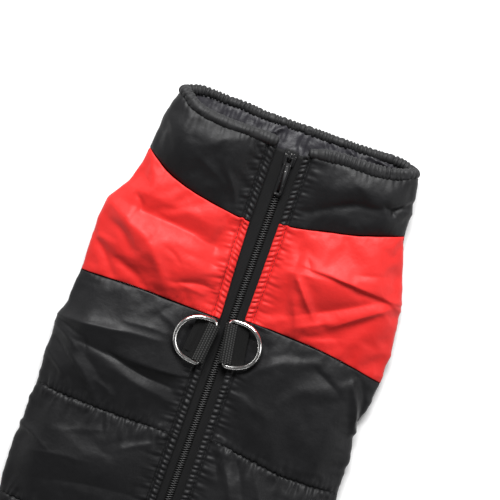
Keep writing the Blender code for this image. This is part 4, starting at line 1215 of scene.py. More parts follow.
# %% Panel table
Panel = namedtuple("Panel", "node seams finish slot sewing")
PANELS = (
    Panel("collar", ("neck", "collar"), black_nylon, "black_nylon", thread),
    Panel("yoke", ("collar", "yoke"), red_nylon, "red_nylon", red_thread),
    Panel("body", ("yoke", "quilt", "lower", "hem"), black_nylon, "black_nylon", thread),
)
SETTLING = {"collar": 0.55, "yoke": 0.8, "body": 0.5}
SIDE_WOBBLE = ((20.0, 60.0, 120.0), (0.2, 0.4, 0.55))      # at distances down
LEFT_EDGE_SHIFT = ((0.0, 55.0, 80.0, 110.0), (2.8, 2.6, 1.4, 0.0))      # at distances down
CREASES_FROM = 24.0          # distance from the zip at which creases have their full height
HEM_CORNER_TUCK = 5.0
HEM_CORNER_LENGTH = 16.0
HEM_STITCHES_IN = 6.0


# %% Panel steps
def sewn_down(at, pressed):
    """1 where a seam, a row of stitches or the webbing holds the cloth, and 0 elsewhere."""
    held = np.zeros(at.down.shape)
    held[[0, -1]] = 1.0
    held[:, [0, -1]] = 1.0
    held[np.abs(at.distance - STITCH_LINE) < 1.0] = 1.0
    held[(np.abs(at.down - at.top) < 0.3) | (np.abs(at.down - at.bottom) < 0.3)] = 1.0
    held[pressed > 0.5] = 1.0
    return held


def settled_panel(panel, side, at, pressed):
    """The outer face with padding, creases and the small wrinkles of the simulation."""
    base = upper_plain(side, at.distance, at.down)
    padding, inside = padding_height(side, at.distance, at.down, at.top, at.bottom, at.power)
    creases = crease_height(side * at.distance, at.down) * inside
    creases = creases * ramp(at.distance, STITCH_LINE, CREASES_FROM)
    shape = padding + creases * (1 - pressed)
    plain = base + face_normals(base, True) * shape[..., None]
    coarse = plain[::SIMULATED_STEP, ::SIMULATED_STEP]
    held = sewn_down(at, pressed)[::SIMULATED_STEP, ::SIMULATED_STEP]
    moved = settle(coarse, held, SETTLING[panel.node]) - coarse
    return plain + finer(moved, (0, 0, 1, 1))


def side_wobble(side, at):
    """How far the side seam wanders, where the padding pushes it out or the thread draws it in."""
    wobble = soft_noise(at.down / 7.0, 0.0 * at.down, 31 + side)
    wobble = wobble + 0.6 * soft_noise(at.down / 3.4, 0.0 * at.down, 35 + side)
    return side * np.interp(at.down, *SIDE_WOBBLE) * wobble * ramp(at.share, 0.8, 1.0)


def fine_puckers(panel, side, at, pressed):
    """The gathers at the zip and the puckers at the cross seams, none at the side seam."""
    lines = [seam_line(name, side, at.share) for name in panel.seams]
    strengths = [SEAM_PUCKERS[name] for name in panel.seams]
    seed = 100 + 50 * (side == RIGHT) + 7 * len(panel.node)
    small = zip_gathers(side, at.distance, at.down)
    small += seam_puckers(at.distance, at.down, lines, strengths, seed)
    return small * (1 - ramp(at.share, 0.9, 1.0)) * (1 - 0.85 * pressed)


def hem_corner(share, down, last):
    """1 at the corner of the hem and the side seam, which is drawn in, and 0 away from it."""
    return ramp(share, CORNER_FROM, 1.0) * ramp(down, last - HEM_CORNER_LENGTH, last)


def stitch_lines(panel, at, points):
    """Lines of points beside the zip, along the quilting and at the hem."""
    lines = [points[:, STRIP_COLUMNS]]
    lines += [points[row] for row in np.nonzero(np.diff(at.top[:, 0]))[0] if 0 < row < len(at.down) - 2]
    if panel.seams[-1] == "hem":
        above_hem = at.down[-1, 0] - at.down[:, 0]
        lines.append(points[int(np.argmin(np.abs(above_hem - HEM_STITCHES_IN)))])
    return lines


# %% Build the panels
PANEL_WALL = 0.6
NECK_MARGIN = 1.6            # from the neck's line, which the casing covers
SEAM_ROLL, SEAM_TUCK = 0.55, 1.5
HEM_ROLL, HEM_TUCK = 1.7, 4.0
ZIP_TUCK = 2.5


def build_panel(panel, side):
    """One padded panel with its stitches, on one side of the zip."""
    first, last = panel.seams[0], panel.seams[-1]
    margins = (
        NECK_MARGIN if first == "neck" else SEAM_ROLL + SEAM_GAP / 2,
        HEM_ROLL if last == "hem" else SEAM_ROLL + SEAM_GAP / 2,
    )
    at = panel_places(side, panel.seams, margins)
    pressed = under_webbing(side, side * at.distance, at.down)
    points = settled_panel(panel, side, at, pressed)
    points[..., 0] += side_wobble(side, at)
    small = fine_puckers(panel, side, at, pressed)
    points = points + face_normals(points, True) * small[..., None]
    if side == LEFT:
        points[..., 0] -= np.interp(at.down, *LEFT_EDGE_SHIFT) * (1 - ramp(at.distance, 14.0, 30.0))
    if last == "hem":
        points[..., 0] -= side * HEM_CORNER_TUCK * hem_corner(at.share, at.down, at.down[-1])

    name = f"{panel.node}_{SIDE_NAMES[side]}"
    lines = stitch_lines(panel, at, points)
    rows = [sew(f"{name}_stitches_{number}", line[2:-2], panel.sewing) for number, line in enumerate(lines)]
    folds = (
        ("first_column", FOLD_RADIUS, ZIP_TUCK),
        ("last_column", SEAM_ROLL, SEAM_TUCK),
        ("first_row", SEAM_ROLL, SEAM_TUCK),
        ("last_row", HEM_ROLL, HEM_TUCK) if last == "hem" else ("last_row", SEAM_ROLL, SEAM_TUCK),
    )
    for edge, radius, tuck in folds:
        points = roll_edge(points, True, edge, radius, tuck)
    piece = grid_piece(name + "_cloth", facing(points, True), panel.finish)
    add_wall(piece, PANEL_WALL)
    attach(piece, "vest")
    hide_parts(name)
    declare_sheet(piece, points)


for panel in PANELS:
    for side in (LEFT, RIGHT):
        build_panel(panel, side)

# %% [markdown]
# ## The belly cloth
# The under layer lies flat on the ground and rounds up to the side seams. It is one grid. Where
# a leg comes out, the faces are taken away and the edge of what is left is pulled onto an
# ellipse; the edge is then extruded round a small radius into the vest, as a narrow hem is.

# %% Belly form
BELLY_PITCH = 1.9
BELLY_HEM_RISE = 16.0        # the hem's middle lies this much further up than its sides
BELLY_CORNER_TUCK = 6.5
HEM_RADIUS = 0.8
TRIM_RADIUS = 2.8
CASING_OVERLAP = 0.6         # how far the casing covers the belly's edge
BELLY_FOLDS = (("first_column", 0.9, 1.2), ("last_column", 0.9, 1.2), ("last_row", HEM_RADIUS, 7.0))


def far_neck_line(across):
    """How far down the middle of the casing lies on the under layer."""
    far_down = -FAR_TRIM_RISE + TRIM_RADIUS
    return far_down + (SEAMS[-1].neck_l - far_down) * ramp(np.abs(across), 0.83, 1.0)


def belly_hem_line(across):
    """How far down the tail hem of the under layer lies."""
    return SEAMS[-1].hem - BELLY_HEM_RISE * (1 - np.abs(across) ** 3)


def belly_lift(x, down):
    """How far the loose cloth stands off the ground between the places where it rests."""
    lift = 0.45 * (1 + soft_noise(x / 23, down / 15, 41)) + 0.35 * (1 + soft_noise(x / 9, down / 13, 42))
    return lift * (1 - ramp(np.abs(x) / half_width(RIGHT, LAYOUT_DOWN), 0.75, 0.95))


def belly_columns(flat_steps, turn_steps):
    """Shares of the half width, even on the flat part and close together on the round side."""
    flat_share = 1 - BELLY_ROUND / half_width(RIGHT, LAYOUT_DOWN)
    flat = flat_share * np.linspace(0.0, 1.0, flat_steps + 1)
    turn = flat_share + (1 - flat_share) * np.sin(np.linspace(0.0, math.pi / 2, turn_steps + 1)[1:])
    right = np.concatenate([flat, turn])
    return np.concatenate([-right[:0:-1], right])


def belly_form():
    """The under layer's outer face, from the neck to the tail hem, with its folded edges."""
    across = belly_columns(flat_steps=44, turn_steps=14)
    first = far_neck_line(across) + TRIM_RADIUS - CASING_OVERLAP
    last = belly_hem_line(across) - HEM_RADIUS
    share = np.linspace(0.0, 1.0, round((last - first).mean() / BELLY_PITCH))[:, None]
    down = first + (last - first) * share
    across = across + 0 * down
    points = belly_plain(across, down)
    points[..., 2] += belly_lift(points[..., 0], down)
    points[..., 0] -= np.sign(across) * BELLY_CORNER_TUCK * hem_corner(np.abs(across), down, last)
    for edge, radius, tuck in BELLY_FOLDS:
        points = roll_edge(points, False, edge, radius, tuck)
    return points


# %% Leg openings
LEG_MIDDLE_DOWN = 128.0
LEG_MIDDLE_X = 60.0
LEG_HALF_LENGTH = 27.0
LEG_HALF_WIDTH = 19.0
NEAR_OPENING = 1.18          # vertices within this share of the opening's size are evened out


def hem_leg_opening(bm, middle):
    """Cut an oval out of a grid in millimetres, and fold its edge into the vest."""
    def reach(point):
        return math.hypot((point.x - middle.x) / LEG_HALF_WIDTH, (point.y - middle.y) / LEG_HALF_LENGTH)

    inside = [f for f in bm.faces if reach(f.calc_center_median()) < 1.0]
    bmesh.ops.delete(bm, geom=inside, context="FACES")
    edge = [e for e in bm.edges if e.is_boundary and all(reach(v.co) < 1.25 for v in e.verts)]
    for vert in {v for e in edge for v in e.verts}:
        share = reach(vert.co)
        vert.co.x = middle.x + (vert.co.x - middle.x) / share
        vert.co.y = middle.y + (vert.co.y - middle.y) / share
    near = [v for v in bm.verts if 1.001 < reach(v.co) < NEAR_OPENING]
    for _ in range(3):
        bmesh.ops.smooth_vert(bm, verts=near, factor=0.4, use_axis_x=True, use_axis_y=True, use_axis_z=False)
    start = 0.0
    for angle in np.radians((45.0, 90.0, 135.0, 180.0)):
        grown = bmesh.ops.extrude_edge_only(bm, edges=edge)["geom"]
        edge = [g for g in grown if isinstance(g, bmesh.types.BMEdge)]
        for vert in (g for g in grown if isinstance(g, bmesh.types.BMVert)):
            inwards = (middle - vert.co) * Vector((1.0, 1.0, 0.0))
            vert.co += inwards.normalized() * HEM_RADIUS * (math.sin(angle) - math.sin(start))
            vert.co.z += HEM_RADIUS * (math.cos(start) - math.cos(angle))
        start = angle
        edge = [e for e in edge if e.is_boundary]


# %% Build the belly cloth
BELLY_CLOTH = 0.5

belly_points = belly_form()
belly = grid_piece("belly_cloth", facing(belly_points, False), belly_nylon)
bm = bmesh.new()
bm.from_mesh(belly.data)
scale_all(bm, 1 / MM)
for side in (LEFT, RIGHT):
    hem_leg_opening(bm, Vector((side * LEG_MIDDLE_X, ZIP_TOP_Y - LEG_MIDDLE_DOWN, 0.0)))
scale_all(bm, MM)
bm.to_mesh(belly.data)
bm.free()
add_wall(belly, BELLY_CLOTH)
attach(belly, "vest")
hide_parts("belly_panel")
print("belly faces", len(belly.data.polygons))

# %% Stitches on the underside
LEG_STITCHES_OUT = 3.0
ROW_POINTS = 160
HEM_ROW_HALF = 80.0          # the hem's row ends before the side seams


def belly_stitches(name, x, down):
    """A row of stitches on the underside, through places on the belly cloth."""
    spots = belly_plain(x / np.where(x < 0, half_width(LEFT, down), half_width(RIGHT, down)), down)
    spots[..., 2] += belly_lift(x, down)
    spots[..., 2] = np.maximum(spots[..., 2] - 2 * STITCH_STAND, 0.0)
    return sew(name, spots, thread)


angle = np.linspace(0.0, 2 * math.pi, ROW_POINTS)
for side in (LEFT, RIGHT):
    x = side * LEG_MIDDLE_X + (LEG_HALF_WIDTH + LEG_STITCHES_OUT) * np.cos(angle)
    down = LEG_MIDDLE_DOWN + (LEG_HALF_LENGTH + LEG_STITCHES_OUT) * np.sin(angle)
    belly_stitches("leg_opening_" + SIDE_NAMES[side] + "_stitches", x, down)
x = np.linspace(-HEM_ROW_HALF, HEM_ROW_HALF, ROW_POINTS)
down = belly_hem_line(x / half_width(LEFT, 300.0)) - HEM_STITCHES_IN
belly_stitches("belly_hem_stitches", x, down)
declare_sheet(belly, belly_points)

# %% [markdown]
# ## The lining in the neck
# The lining is a thin crinkled tube inside the neck. Its columns run once round the neck, from
# one side of the zip to the other, and its rows run down into the vest. It follows the inner
# face of each layer and hangs from the casing. Ripples that start at the gathered edge, softer
# noise, three folds and one flat facet behind the slider stand inwards from that face.

# %% Lining form
LINING_REACH = 46.0
LINING_ROWS = 60
NEAR_LINING_DEPTH = 4.2      # below the upper layer's outer face
FAR_LINING_HEIGHT = 4.4      # above the ground
LINING_INSET = 2.5           # from the side seams
AROUND_STEPS = 90
TRIM_START = 9.5             # where the casing and the lining begin, from the zip's middle


def quarter_shares(side, steps):
    """Shares of the half width: out from the zip on the near layer, then back on the far one."""
    start = TRIM_START / half_width(side, 0.0)
    near = start + (1 - start) * np.sin(np.linspace(0.0, math.pi / 2, steps))
    return near, np.cos(np.linspace(0.0, math.pi / 2, steps))[1:]


def lining_points():
    """Rows go down into the neck, columns round it, with how far down each row is."""
    downwards = np.linspace(0.0, LINING_REACH, LINING_ROWS)[:, None]
    parts = []
    for side in (LEFT, RIGHT):
        near, far = quarter_shares(side, AROUND_STEPS + 1)
        down = seam_line("neck", side, near) + downwards
        upper = upper_plain(side, near * half_width(side, down), down)
        upper[..., 2] -= NEAR_LINING_DEPTH * (1 - ramp(near, 0.9, 1.0)) + 0 * down
        upper[..., 0] -= side * LINING_INSET * ramp(near, 0.9, 1.0)
        lower = belly_plain(side * far, far_neck_line(far) + downwards)
        lower[..., 2] = np.maximum(lower[..., 2] + 0.5, FAR_LINING_HEIGHT)
        lower[..., 0] -= side * LINING_INSET * ramp(far, 0.9, 1.0)
        layers = np.concatenate([upper, lower], axis=1)
        parts.append(layers if side == LEFT else layers[:, ::-1])
    return np.concatenate([parts[0], parts[1][:, 1:]], axis=1), downwards


# %% Crinkles of the lining
RIPPLE_PITCH, RIPPLE_REACH, RIPPLE_RISE = 4.4, 22.0, 2.0
LINING_FOLDS = ((-9.0, -12.0, -14.0, -6.0), (32.0, -12.0, 42.0, -4.0), (44.0, -12.0, 60.0, -9.0))
FOLD_RISE = 2.6
FOLD_WIDTH = 1.2
FACET_TOP = (-2.0, -12.0)    # a flat fold behind the slider, wider and higher further down
FACET_LENGTH = 10.0
FACET_HALF_WIDTH = 4.4
FACET_RISE = 3.0
FAR_LAYER_BELOW = 6.0        # points lower than this are on the far layer


def lining_crinkle(plain, depth_in):
    """How far the lining stands inwards from its plain form."""
    x, down = plain[..., 0], ZIP_TOP_Y - plain[..., 1]
    far_layer = plain[..., 2] < FAR_LAYER_BELOW
    round_run = run_lengths(plain[0])[None, :]
    wandering = round_run + 2 * soft_noise(depth_in / 9, round_run / 9, 51)
    crinkle = RIPPLE_RISE * puckers(wandering, depth_in, RIPPLE_PITCH, RIPPLE_REACH, 52)
    small = 1 - np.abs(soft_noise(round_run / 5.5, depth_in / 7.0, 53))
    crinkle = crinkle + 1.2 * small * ramp(depth_in, 2.0, 9.0)
    large = 1 - np.abs(soft_noise(round_run / 12, depth_in / 9.0, 54))
    crinkle = crinkle + 1.8 * large * ramp(depth_in, 4.0, 14.0)
    for x_a, down_a, x_b, down_b in LINING_FOLDS:
        run_x, run_down = x_b - x_a, down_b - down_a
        t = ((x - x_a) * run_x + (down - down_a) * run_down) / (run_x**2 + run_down**2)
        t = np.clip(t, 0.0, 1.0)
        reach = np.hypot(x - x_a - t * run_x, down - down_a - t * run_down)
        crinkle = crinkle + FOLD_RISE * np.exp(-((reach / FOLD_WIDTH) ** 1.5)) * far_layer
    below_top = np.clip((down - FACET_TOP[1]) / FACET_LENGTH, 0.0, 1.3)
    beyond = np.abs(x - FACET_TOP[0]) - FACET_HALF_WIDTH * below_top
    facet = (1 - ramp(beyond, -0.4, 0.8)) * far_layer * (below_top > 0)
    return crinkle * (1 - facet) + FACET_RISE * below_top * facet


def looseness(plain, depth_in):
    """1 where the lining is free to crinkle; less at the sides, on the near layer and the edge."""
    loose = 1 - 0.9 * ramp(np.abs(plain[..., 0]) / half_width(RIGHT, 0.0), 0.62, 0.86)
    return loose * np.where(plain[..., 2] < 8.0, 1.0, 0.4) * ramp(depth_in, 0.0, 3.5)


# %% Build the lining
LINING_WALL = 0.2
NECK_MIDDLE = np.array([0.0, 0.0, 11.0])

lining_plain, depth_in = lining_points()
inwards = unit(cell_normals(lining_plain))
towards_middle = ((NECK_MIDDLE - lining_plain) * inwards)[..., [0, 2]].sum(-1, keepdims=True)
inwards = inwards * np.where(towards_middle < 0, -1.0, 1.0)
stand = lining_crinkle(lining_plain, depth_in) * looseness(lining_plain, depth_in)
lining_cloth = lining_plain + inwards * stand[..., None]
lining = grid_piece("collar_lining_cloth", facing(lining_cloth, True), grey_lining)
add_wall(lining, LINING_WALL)
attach(lining, "vest")
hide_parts("collar_lining")
declare_sheet(lining, lining_cloth)

# %% [markdown]
# ## The gathered casing
# The neck's edge is a narrow casing, a strip folded round an elastic that draws it in. Its
# middle line is the CAD's. Round it goes a ring of points whose radius rises and falls with
# each gather, open where the strip's edges are sewn in with the collar. The gathers slant and
# differ, and are weaker on the near left, where the collar holds the casing out.

# %% The casing's line
ROUTE_STEPS = 60
ROUTE_POINTS = 157
CASING_INSET = 1.75          # from the layers' outer faces and from the side seams


def neck_route():
    """The casing's middle line, from the left of the zip round the far side to its right."""
    halves = []
    for side in (LEFT, RIGHT):
        near, far = quarter_shares(side, ROUTE_STEPS)
        down = seam_line("neck", side, near)
        upper = upper_plain(side, near * half_width(side, down), down)
        upper[..., 2] -= CASING_INSET * (1 - ramp(near, 0.95, 1.0))
        upper[..., 0] -= side * CASING_INSET * ramp(near, 0.85, 1.0)
        lower = belly_plain(side * far, far_neck_line(far))
        lifted = lower[..., 2] + CASING_INSET * (1 - ramp(far, 0.9, 1.0))
        lower[..., 2] = np.maximum(lifted, TRIM_RADIUS * 1.07)
        lower[..., 0] -= side * CASING_INSET * ramp(far, 0.85, 1.0)
        halves.append(np.concatenate([upper, lower]))
    route = np.concatenate([halves[0], halves[1][-2::-1]])
    route = points_along(route, np.linspace(0.0, run_lengths(route)[-1], ROUTE_POINTS))
    smooth_line(route, 4)
    return route


def tube_points(route, radius, sides, closed, start=(0.0, 0.0, 1.0), slit=0.0):
    """Rings of points round a line, each from the start's direction round to it again.

    Radius is an array with one value for each ring and side. Slit is half the angle left open.
    """
    if closed:
        run = unit(np.roll(route, -1, axis=0) - np.roll(route, 1, axis=0))
    else:
        run = unit(np.gradient(route, axis=0))
    first = unit(np.array(start) - run * (run @ np.array(start))[:, None])
    aside = np.cross(run, first)
    angle = np.linspace(slit, 2 * math.pi - slit, sides + 1)
    ring = first[:, None] * np.cos(angle)[:, None] + aside[:, None] * np.sin(angle)[:, None]
    return route[:, None] + ring * np.asarray(radius)[..., None]


# %% Casing
CASING_RINGS = 900
CASING_SIDES = 24
CASING_SLIT = 0.14           # radians on each side of the seam, where the strip's edges meet
CASING_SEAM = (0.0, -1.0, 0.0)      # the direction of that seam from the casing's middle
CASING_END = 2.2             # length over which each end closes
GATHER_PITCH = 2.6
GATHER_DEPTH = 0.35
CORNER_X, CORNER_REACH = 68.0, 12.0


def casing_form(route):
    """The casing's surface: its rings swell and shrink with each gather."""
    run = np.linspace(0.0, run_lengths(route)[-1], CASING_RINGS)[:, None]
    line = points_along(route, run[:, 0])
    around = np.linspace(CASING_SLIT, 2 * math.pi - CASING_SLIT, CASING_SIDES + 1)[None, :]
    x = line[:, 0:1]
    far = ramp(line[:, 1:2], ZIP_TOP_Y + 4.0, ZIP_TOP_Y + 9.0)
    near_right = (1 - far) * ramp(x, 8.0, 26.0)
    near_left = (1 - far) * ramp(-x, 8.0, 14.0)
    corner = np.exp(-(((np.abs(x) - CORNER_X) / CORNER_REACH) ** 2)) * far

    # Each gather's place wanders and its depth differs; it is weakest on the near left
    wander = 1.1 * soft_noise(run / 4.0, 0.0 * run, 61) + 0.5 * soft_noise(run / 3.0, np.cos(around) + 2, 62)
    fold = np.abs(np.sin(math.pi * ((run + wander) / GATHER_PITCH))) ** 0.7
    strength = (0.35 + 0.65 * far + 0.65 * near_right) * (0.8 + 0.35 * soft_noise(run / 6.0, 0.0 * run, 63))
    uneven = 0.07 * soft_noise(run / 5.0, 2 + 1.5 * np.cos(around), 64)
    thick = 1.0 - GATHER_DEPTH * strength * (1 - fold) + uneven

    # The outline is a flattened ring beside the zip, fuller round the far side, closed at both ends
    wide = 1.06 + 0.24 * near_left + 0.48 * near_right
    tall = 1.05 + 0.22 * near_left + 0.20 * near_right
    thick = thick * np.hypot(tall * np.sin(around), wide * np.cos(around))
    thick = thick * (1 + 0.10 * far + 0.10 * corner)
    to_end = np.minimum(run, run[-1] - run) / CASING_END
    ends = np.sqrt(np.clip(1 - (1 - to_end).clip(0.0, 1.0) ** 2, 0.0, 1.0))

    # The near side stands up on the collar, and the far side and its corners push outwards
    line[:, 1:2] += -0.3 * near_left + 0.4 * near_right
    line[:, 2:3] += 0.8 * (near_left + near_right)
    line[:, 1:2] += far * (0.6 + 1.2 * ramp(-x, 20.0, 40.0)) + 0.8 * corner
    radius = TRIM_RADIUS * thick * ends
    points = tube_points(line, radius, CASING_SIDES, False, start=CASING_SEAM, slit=CASING_SLIT)
    points[..., 2] = np.maximum(points[..., 2], 0.05)
    return points


casing_route = neck_route()
casing_points = casing_form(casing_route)
casing = grid_piece("neck_casing", casing_points, trim_cloth, merge=True)
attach(casing, "vest")
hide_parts("neck_binding")
declare_sheet(casing, casing_points)
print("casing is", round(run_lengths(casing_route)[-1]), "mm round")

# %% [markdown]
# ## The zip
# Two woven tapes carry a coil of nylon. The tapes are thin grids that follow the cloth's height
# beside the zip, a little below it, and reach in under the panels' folded edges.

# %% Tapes
TAPE_INNER = 1.8             # from the zip's middle, below the coil
TAPE_OUTER = 12.0
TAPE_TOP = -1.9              # heights on the zip are from the plain surface
TAPE_THICKNESS = 0.9
TAPE_WALL = 0.8
TAPE_SINK = 0.05
TAPE_START = 1.5
ZIP_END = SEAMS[0].hem - 4.0


def zip_height(down):
    """Height of the plain surface in the middle, where the zip runs."""
    return upper_plain(RIGHT, 0.0 * down, down)[..., 2]


for side in (LEFT, RIGHT):
    name = "zip_tape_" + SIDE_NAMES[side]
    down = np.linspace(TAPE_START, ZIP_END, 170)[:, None]
    distance = np.linspace(TAPE_INNER, TAPE_OUTER, 9)[None, :]
    distance, down = np.broadcast_arrays(distance, down)
    points = upper_plain(side, distance, down)
    points[..., 2] += TAPE_TOP - TAPE_SINK + 0.06 * soft_noise(down / 4, distance / 3, 71)
    tape = grid_piece(name + "_weave", facing(points, True), tape_weave)
    add_wall(tape, TAPE_WALL)
    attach(tape, "vest")
    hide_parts(name)
    declare_sheet(tape, points)

# %% [markdown]
# ## The coil
# Each turn of a zip's coil shows as a small rounded bar that reaches past the middle, first
# from one side and then from the other. About two hundred turns are needed, so each is one
# cube with a single bevel, leaning as the coil winds and sloping down to its own side. A stop
# closes the zip's lower end; it is one rounded block across the coil.

# %% Coil
CHAIN_TOP = -0.8
SLIDER_LENGTH = 9.5
COIL_START = SLIDER_LENGTH + SEAM_GAP + 0.6
COIL_END = ZIP_END - 3.0
COIL_PITCH = 1.5
COIL_BAR = (2.9, 0.9, 1.3)   # its length, width and height
COIL_BAR_MIDDLE = 0.95       # from the zip's middle
COIL_LEAN = math.radians(9.0)
COIL_SLOPE = math.radians(13.0)
COIL_ROUNDING = 0.38

bm = bmesh.new()
turns = int((COIL_END - COIL_START) / COIL_PITCH)
for i in range(turns):
    for side in (LEFT, RIGHT):
        down = COIL_START + (i + 0.25 * (1 + side)) * COIL_PITCH
        height = float(zip_height(np.array(down))) + CHAIN_TOP - COIL_BAR[2] / 2
        spot = Matrix.Translation((side * COIL_BAR_MIDDLE, ZIP_TOP_Y - down, height))
        lean = Matrix.Rotation(COIL_LEAN, 4, "Z") @ Matrix.Rotation(side * COIL_SLOPE, 4, "Y")
        bmesh.ops.create_cube(bm, size=1.0, matrix=spot @ lean @ Matrix.Diagonal((*COIL_BAR, 1.0)))
round_edges(bm, COIL_ROUNDING, 1)
scale_all(bm, MM)
coil = piece_from(bm, "zip_coil", coil_nylon)
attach(coil, "vest")
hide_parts("zip_chain")
print("coil turns", turns, "faces", len(coil.data.polygons))

# %% Bottom stop
STOP_SIZE = (6.6, 2.4, 2.2)
STOP_RISE = 0.2              # above the coil

bm = bmesh.new()
stop_down = ZIP_END - STOP_SIZE[1] / 2
stop_height = float(zip_height(np.array(stop_down))) + CHAIN_TOP - STOP_SIZE[2] / 2 + STOP_RISE
spot = Matrix.Translation((0.0, ZIP_TOP_Y - stop_down, stop_height))
bmesh.ops.create_cube(bm, size=1.0, matrix=spot @ Matrix.Diagonal((*STOP_SIZE, 1.0)))
round_edges(bm, 0.4, 3)
scale_all(bm, MM)
stop = piece_from(bm, "zip_bottom_stop", worn_enamel)
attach(stop, "vest")
print("stop at", round(stop_down), "mm")

# %% [markdown]
# ## The slider
# The slider is two plates on a post, with the coil running between them, and a small bridge
# that the tab hangs on. It is cast and enamelled, so every edge is rounded. The plates are
# cubes that narrow towards the tail, and the bridge is a circle spun into a ring.

# %% Slider
SLIDER_WIDTH = 8.6
SLIDER_PLATE = 1.2
SLIDER_TAPER = 0.78
SLIDER_POST = (5.2, 8.3, 1.8)
POST_TAPER = 0.5
SLIDER_ROUNDING = 0.32


def block(bm, size, middle, taper=1.0):
    """A cuboid whose lower end is narrower, added to a bmesh."""
    for vert in bmesh.ops.create_cube(bm, size=1.0)["verts"]:
        narrow = taper if vert.co.y < 0 else 1.0
        corner = Vector((vert.co.x * size[0] * narrow, vert.co.y * size[1], vert.co.z * size[2]))
        vert.co = corner + Vector(middle)


slider_down = SLIDER_LENGTH / 2
slider_middle = Vector((0.0, ZIP_TOP_Y - slider_down, float(zip_height(np.array(slider_down)))))
upper_plate = TAPE_TOP + SEAM_GAP + SLIDER_PLATE / 2
lower_plate = TAPE_TOP - TAPE_THICKNESS - SEAM_GAP - SLIDER_PLATE / 2
bm = bmesh.new()
for height in (upper_plate, lower_plate):
    block(bm, (SLIDER_WIDTH, SLIDER_LENGTH, SLIDER_PLATE), (0, 0, height), SLIDER_TAPER)
block(bm, SLIDER_POST, (0, 0, TAPE_TOP - TAPE_THICKNESS / 2), POST_TAPER)
bmesh.ops.translate(bm, vec=slider_middle, verts=bm.verts[:])
round_edges(bm, SLIDER_ROUNDING, 3)
slider = piece_from(bm, "slider_body", worn_enamel)
slider.data.transform(Matrix.Scale(MM, 4))
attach(slider, "vest")
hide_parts("zip_slider")
print("slider at", [round(value, 1) for value in slider_middle])

# %% Bridge
PIVOT_RISE = 1.05            # from the upper plate to the tab's pivot
BRIDGE_WIRE = 0.6
BRIDGE_RADIUS = 1.7

pivot = slider_middle + Vector((0.0, 0.0, TAPE_TOP + SEAM_GAP + SLIDER_PLATE + PIVOT_RISE))
bm = bmesh.new()
bmesh.ops.create_circle(bm, segments=12, radius=BRIDGE_WIRE)
bmesh.ops.translate(bm, vec=(0.0, BRIDGE_RADIUS, 0.0), verts=bm.verts[:])
bmesh.ops.spin(bm, geom=bm.edges[:], cent=(0, 0, 0), axis=(1, 0, 0), angle=2 * math.pi, steps=32,
               use_merge=True, use_duplicate=False)
bmesh.ops.recalc_face_normals(bm, faces=bm.faces[:])
bm.transform(Matrix.Scale(MM, 4) @ Matrix.Translation(pivot))
bridge = piece_from(bm, "slider_bridge", worn_enamel)
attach(bridge, "vest")

# %% [markdown]
# ## The pull tab
# The tab is a flat bar with a rounded end, an eye that the bridge passes through and a small
# hole near its tip. Both openings are cut with a Boolean that is applied at once. The tab is
# shaped round its pivot and then turned to the slope of the zip that it lies on.

# %% Pull tab
TAB_LENGTH = 24.0
TAB_WIDTH = 5.0
TAB_THICKNESS = 1.2
TAB_CORNER = 1.7
TAB_ROUNDING = 0.22
TAB_EYE = (2.4, 2.5, 5.0)
TAB_EYE_DOWN = 1.85
TAB_HOLE_RADIUS = 0.9
TAB_HOLE_FROM_TIP = 2.6
CUT_DEPTH = 5.0              # longer than the tab is thick


def carve(piece, cutters):
    """Cut shapes out of a piece for good, and remove the shapes."""
    for cutter in cutters:
        cut = piece.modifiers.new("cut", "BOOLEAN")
        cut.operation = "DIFFERENCE"
        cut.object = cutter
    evaluated = piece.evaluated_get(bpy.context.evaluated_depsgraph_get())
    mesh = bpy.data.meshes.new_from_object(evaluated)
    piece.modifiers.clear()
    piece.data = mesh
    for cutter in cutters:
        bpy.data.objects.remove(cutter)


bm = bmesh.new()
tab_middle = (0, (TAB_THICKNESS / 2 - TAB_LENGTH) / 2, 0)
block(bm, (TAB_WIDTH, TAB_LENGTH + TAB_THICKNESS / 2, TAB_THICKNESS), tab_middle)
tip_corners = [
    e for e in bm.edges if abs(e.verts[0].co.z - e.verts[1].co.z) > 1.0 and e.verts[0].co.y < -10
]
round_edges(bm, TAB_CORNER, 5, tip_corners)
round_edges(bm, TAB_ROUNDING, 2)
tab = piece_from(bm, "tab_plate", worn_enamel)
bm = bmesh.new()
block(bm, TAB_EYE, (0, -TAB_EYE_DOWN, 0))
round_edges(bm, 0.3, 2)
eye = piece_from(bm, "tab_eye", None)
bm = bmesh.new()
bmesh.ops.create_cone(bm, cap_ends=True, segments=24, radius1=TAB_HOLE_RADIUS, radius2=TAB_HOLE_RADIUS,
                      depth=CUT_DEPTH)
bmesh.ops.translate(bm, vec=(0.0, -(TAB_LENGTH - TAB_HOLE_FROM_TIP), 0.0), verts=bm.verts[:])
carve(tab, [eye, piece_from(bm, "tab_hole", None)])
fall = zip_height(np.array(slider_down)) - zip_height(np.array(slider_down + TAB_LENGTH))
tab_slope = math.atan2(float(fall), TAB_LENGTH)
tab.data.transform(Matrix.Scale(MM, 4) @ Matrix.Translation(pivot) @ Matrix.Rotation(tab_slope, 4, "X"))
tab.data.shade_smooth()
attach(tab, "tab")
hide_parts("pull_tab")
print("tab slopes", round(math.degrees(tab_slope), 1), "degrees")

# %% [markdown]
# ## The rings
# Each leash ring is a D of thick plated wire. Its bar lies in a fold of webbing that is sewn
# down beside the zip. The ring moves with its own body, so its mesh is made where it lies. Its
# outline is a closed line of points, and rings of points round it make the wire.

# %% Rings
RING_WIRE = 1.4
RING_SIDES = 24
RING_HALF_BAR = 14.1
RING_DEPTH = 20.3
RING_CORNER = 2.2
RING_BOW_POWER = 0.8         # below 1, so that the bow is fuller than an ellipse
RING_LIFT = 12.0             # degrees, as it leans on its own webbing
RING_HEIGHTS = {LEFT: 16.94, RIGHT: 15.68}


